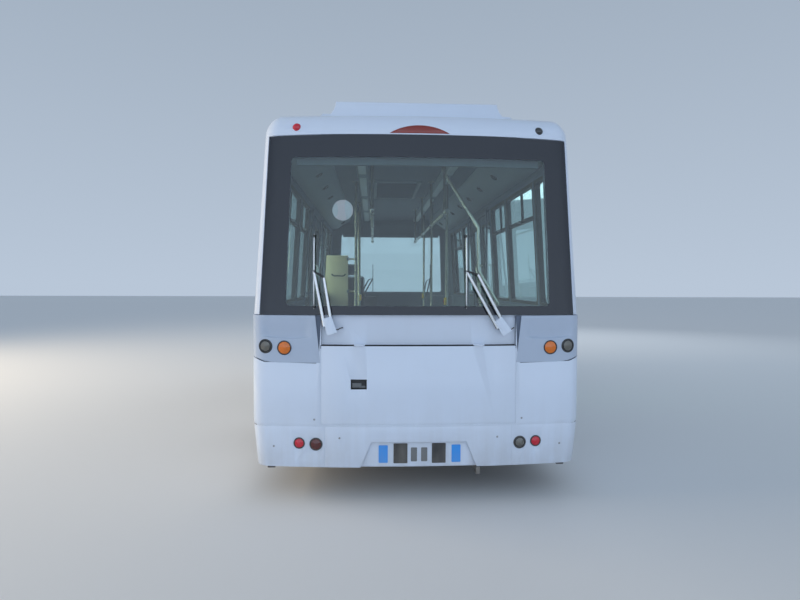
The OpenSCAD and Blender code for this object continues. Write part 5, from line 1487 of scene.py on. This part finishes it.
# Engine bay.
cover = block((-0.16, -3.16, 1.058), (0.16, -2.46, 1.1), 0.016, 3)
ribs = grown(ROW, block((-0.15, -0.006, 0.0), (0.15, 0.006, 0.012), 0.003), IRON, count=9,
             start=(0.0, -3.09, 1.096), step=(0.0, 0.07, 0.0))
add_piece("engine_cover_cap", [painted(cover, IRON), ribs], IRON)
pulleys = []
for x, z, radius in mm("0 560 105, -190 800 60, 170 860 70, 0 840 40"):
    wheel = lathe([(0.0, 0.0), (0.022, 0.0), (0.022, 0.012), (radius * 0.86, 0.012), (radius, 0.018),
                   (radius, 0.022), (radius * 0.93, 0.028), (radius, 0.034), (radius, 0.04), (radius * 0.8, 0.044),
                   (radius * 0.75, 0.03), (0.03, 0.03), (0.024, 0.05), (0.0, 0.05)], 36, "Y")
    pulleys.append(placed(wheel, at(x, -3.2395, z)))
add_piece("engine_pulleys", pulleys, STEEL)
route = mm("105 560, 240 860, 170 930, 0 802, -190 860, -250 800, -105 560, -74 486, 0 455, 74 486")
loop = [((x, -3.272, z), Vector((x * 0.5, 0, z - 0.72)).normalized(), (0, -1, 0)) for x, z in route]
belt = strip(loop, mm("-4 -8, 2 -10, 2 10, -4 8"))
add_piece("engine_belt", belt, RUBBER, turn=50)
hoses = [
    tube(mm("250 -3235 950, 250 -3300 960, 300 -3330 900, 345 -3320 760, 350 -3280 660, 325 -3235 620"), 0.024, 14),
    tube(mm("-260 -3235 600, -280 -3290 600, -330 -3300 680, -345 -3280 800, -325 -3235 880"), 0.019, 14)]
add_piece("engine_hoses", hoses, RUBBER, turn=50)

# Hub caps and valves.
for side, s in SIDES:
    for end, x, y, _, reach in AXLE_ENDS:
        place = at(s * x, y, AXLE_Z) @ mirrored(s)
        section = [(radius, reach + along) for radius, along in mm("0 -2, 58 -2, 58 10, 52 20, 20 26, 0 26")]
        cap = lathe(section, 32, "X")
        add_piece("hub_cap_%s_%s" % (end, side), placed(cap, place), STEEL, body=wheel_body(end, side))
        valve = tube([(reach + x, y, z) for x, y, z in mm("-52 0 -198, -32 0 -192, -8 0 -176")], 0.005, 10)
        add_piece("valve_%s_%s" % (end, side), placed(valve, place), BLACK_PLASTIC, body=wheel_body(end, side))

# Stage, light and camera.
FAR = 60.0
ground = bpy.data.meshes.new("ground")
ground.from_pydata([(x * FAR, y * FAR, 0) for x, y in ((-1, -1), (1, -1), (1, 1), (-1, 1))], [], [(0, 1, 2, 3)])
pale, tree, shader = plain_material("pale_floor", (0.74, 0.745, 0.75))
fill(tree, shader, {"Base Color": pale.diffuse_color, "Roughness": 0.85})
ground.materials.append(pale)
floor_object = linked("studio_floor", ground)

world = bpy.data.worlds.new("studio")
SCENE.world = world
world.use_nodes = True
sky = world.node_tree
toward = wire(sky, "ShaderNodeSeparateXYZ", {0: wire(sky, "ShaderNodeTexCoord").outputs["Generated"]}).outputs
shade = blend_colors(sky, ramp(sky, toward[2], 0.0, 0.8), (0.62, 0.73, 0.88, 1), (0.34, 0.42, 0.52, 1))
fill(sky, sky.nodes["Background"], {"Color": shade, "Strength": ramp(sky, toward[1], -0.15, -0.95, 0.78, 1.85)})


def area_lamp(name, place, aim, size, power, color):
    """A soft lamp that aims at a place."""
    lamp = bpy.data.lights.new(name, "AREA")
    lamp.shape = "RECTANGLE"
    lamp.size, lamp.size_y = size
    lamp.energy = power
    lamp.color = color
    obj = linked(name, lamp)
    obj.location = place
    obj.rotation_euler = (Vector(aim) - Vector(place)).to_track_quat("-Z", "Y").to_euler()
    obj.visible_glossy = False


area_lamp("key", (-13.0, -0.5, 5.0), (0, -0.5, 1.5), (8, 7), 1250, (1.0, 0.82, 0.58))
area_lamp("fill_front", (6.0, 11.0, 7.0), (0, 1, 1.4), (8, 5), 240, (0.85, 0.93, 1.0))

camera = bpy.data.cameras.new("camera")
camera.sensor_width, camera.lens = 36.0, 24.98
camera.clip_end = 300.0
view = linked("camera", camera)
view.location = (-0.35, -7.64, 1.65)
view.rotation_euler = (turned(-2.79, "Z") @ turned(88.25, "X") @ turned(0.2, "Z")).to_euler()
SCENE.camera = view
SCENE.view_settings.view_transform = "Standard"
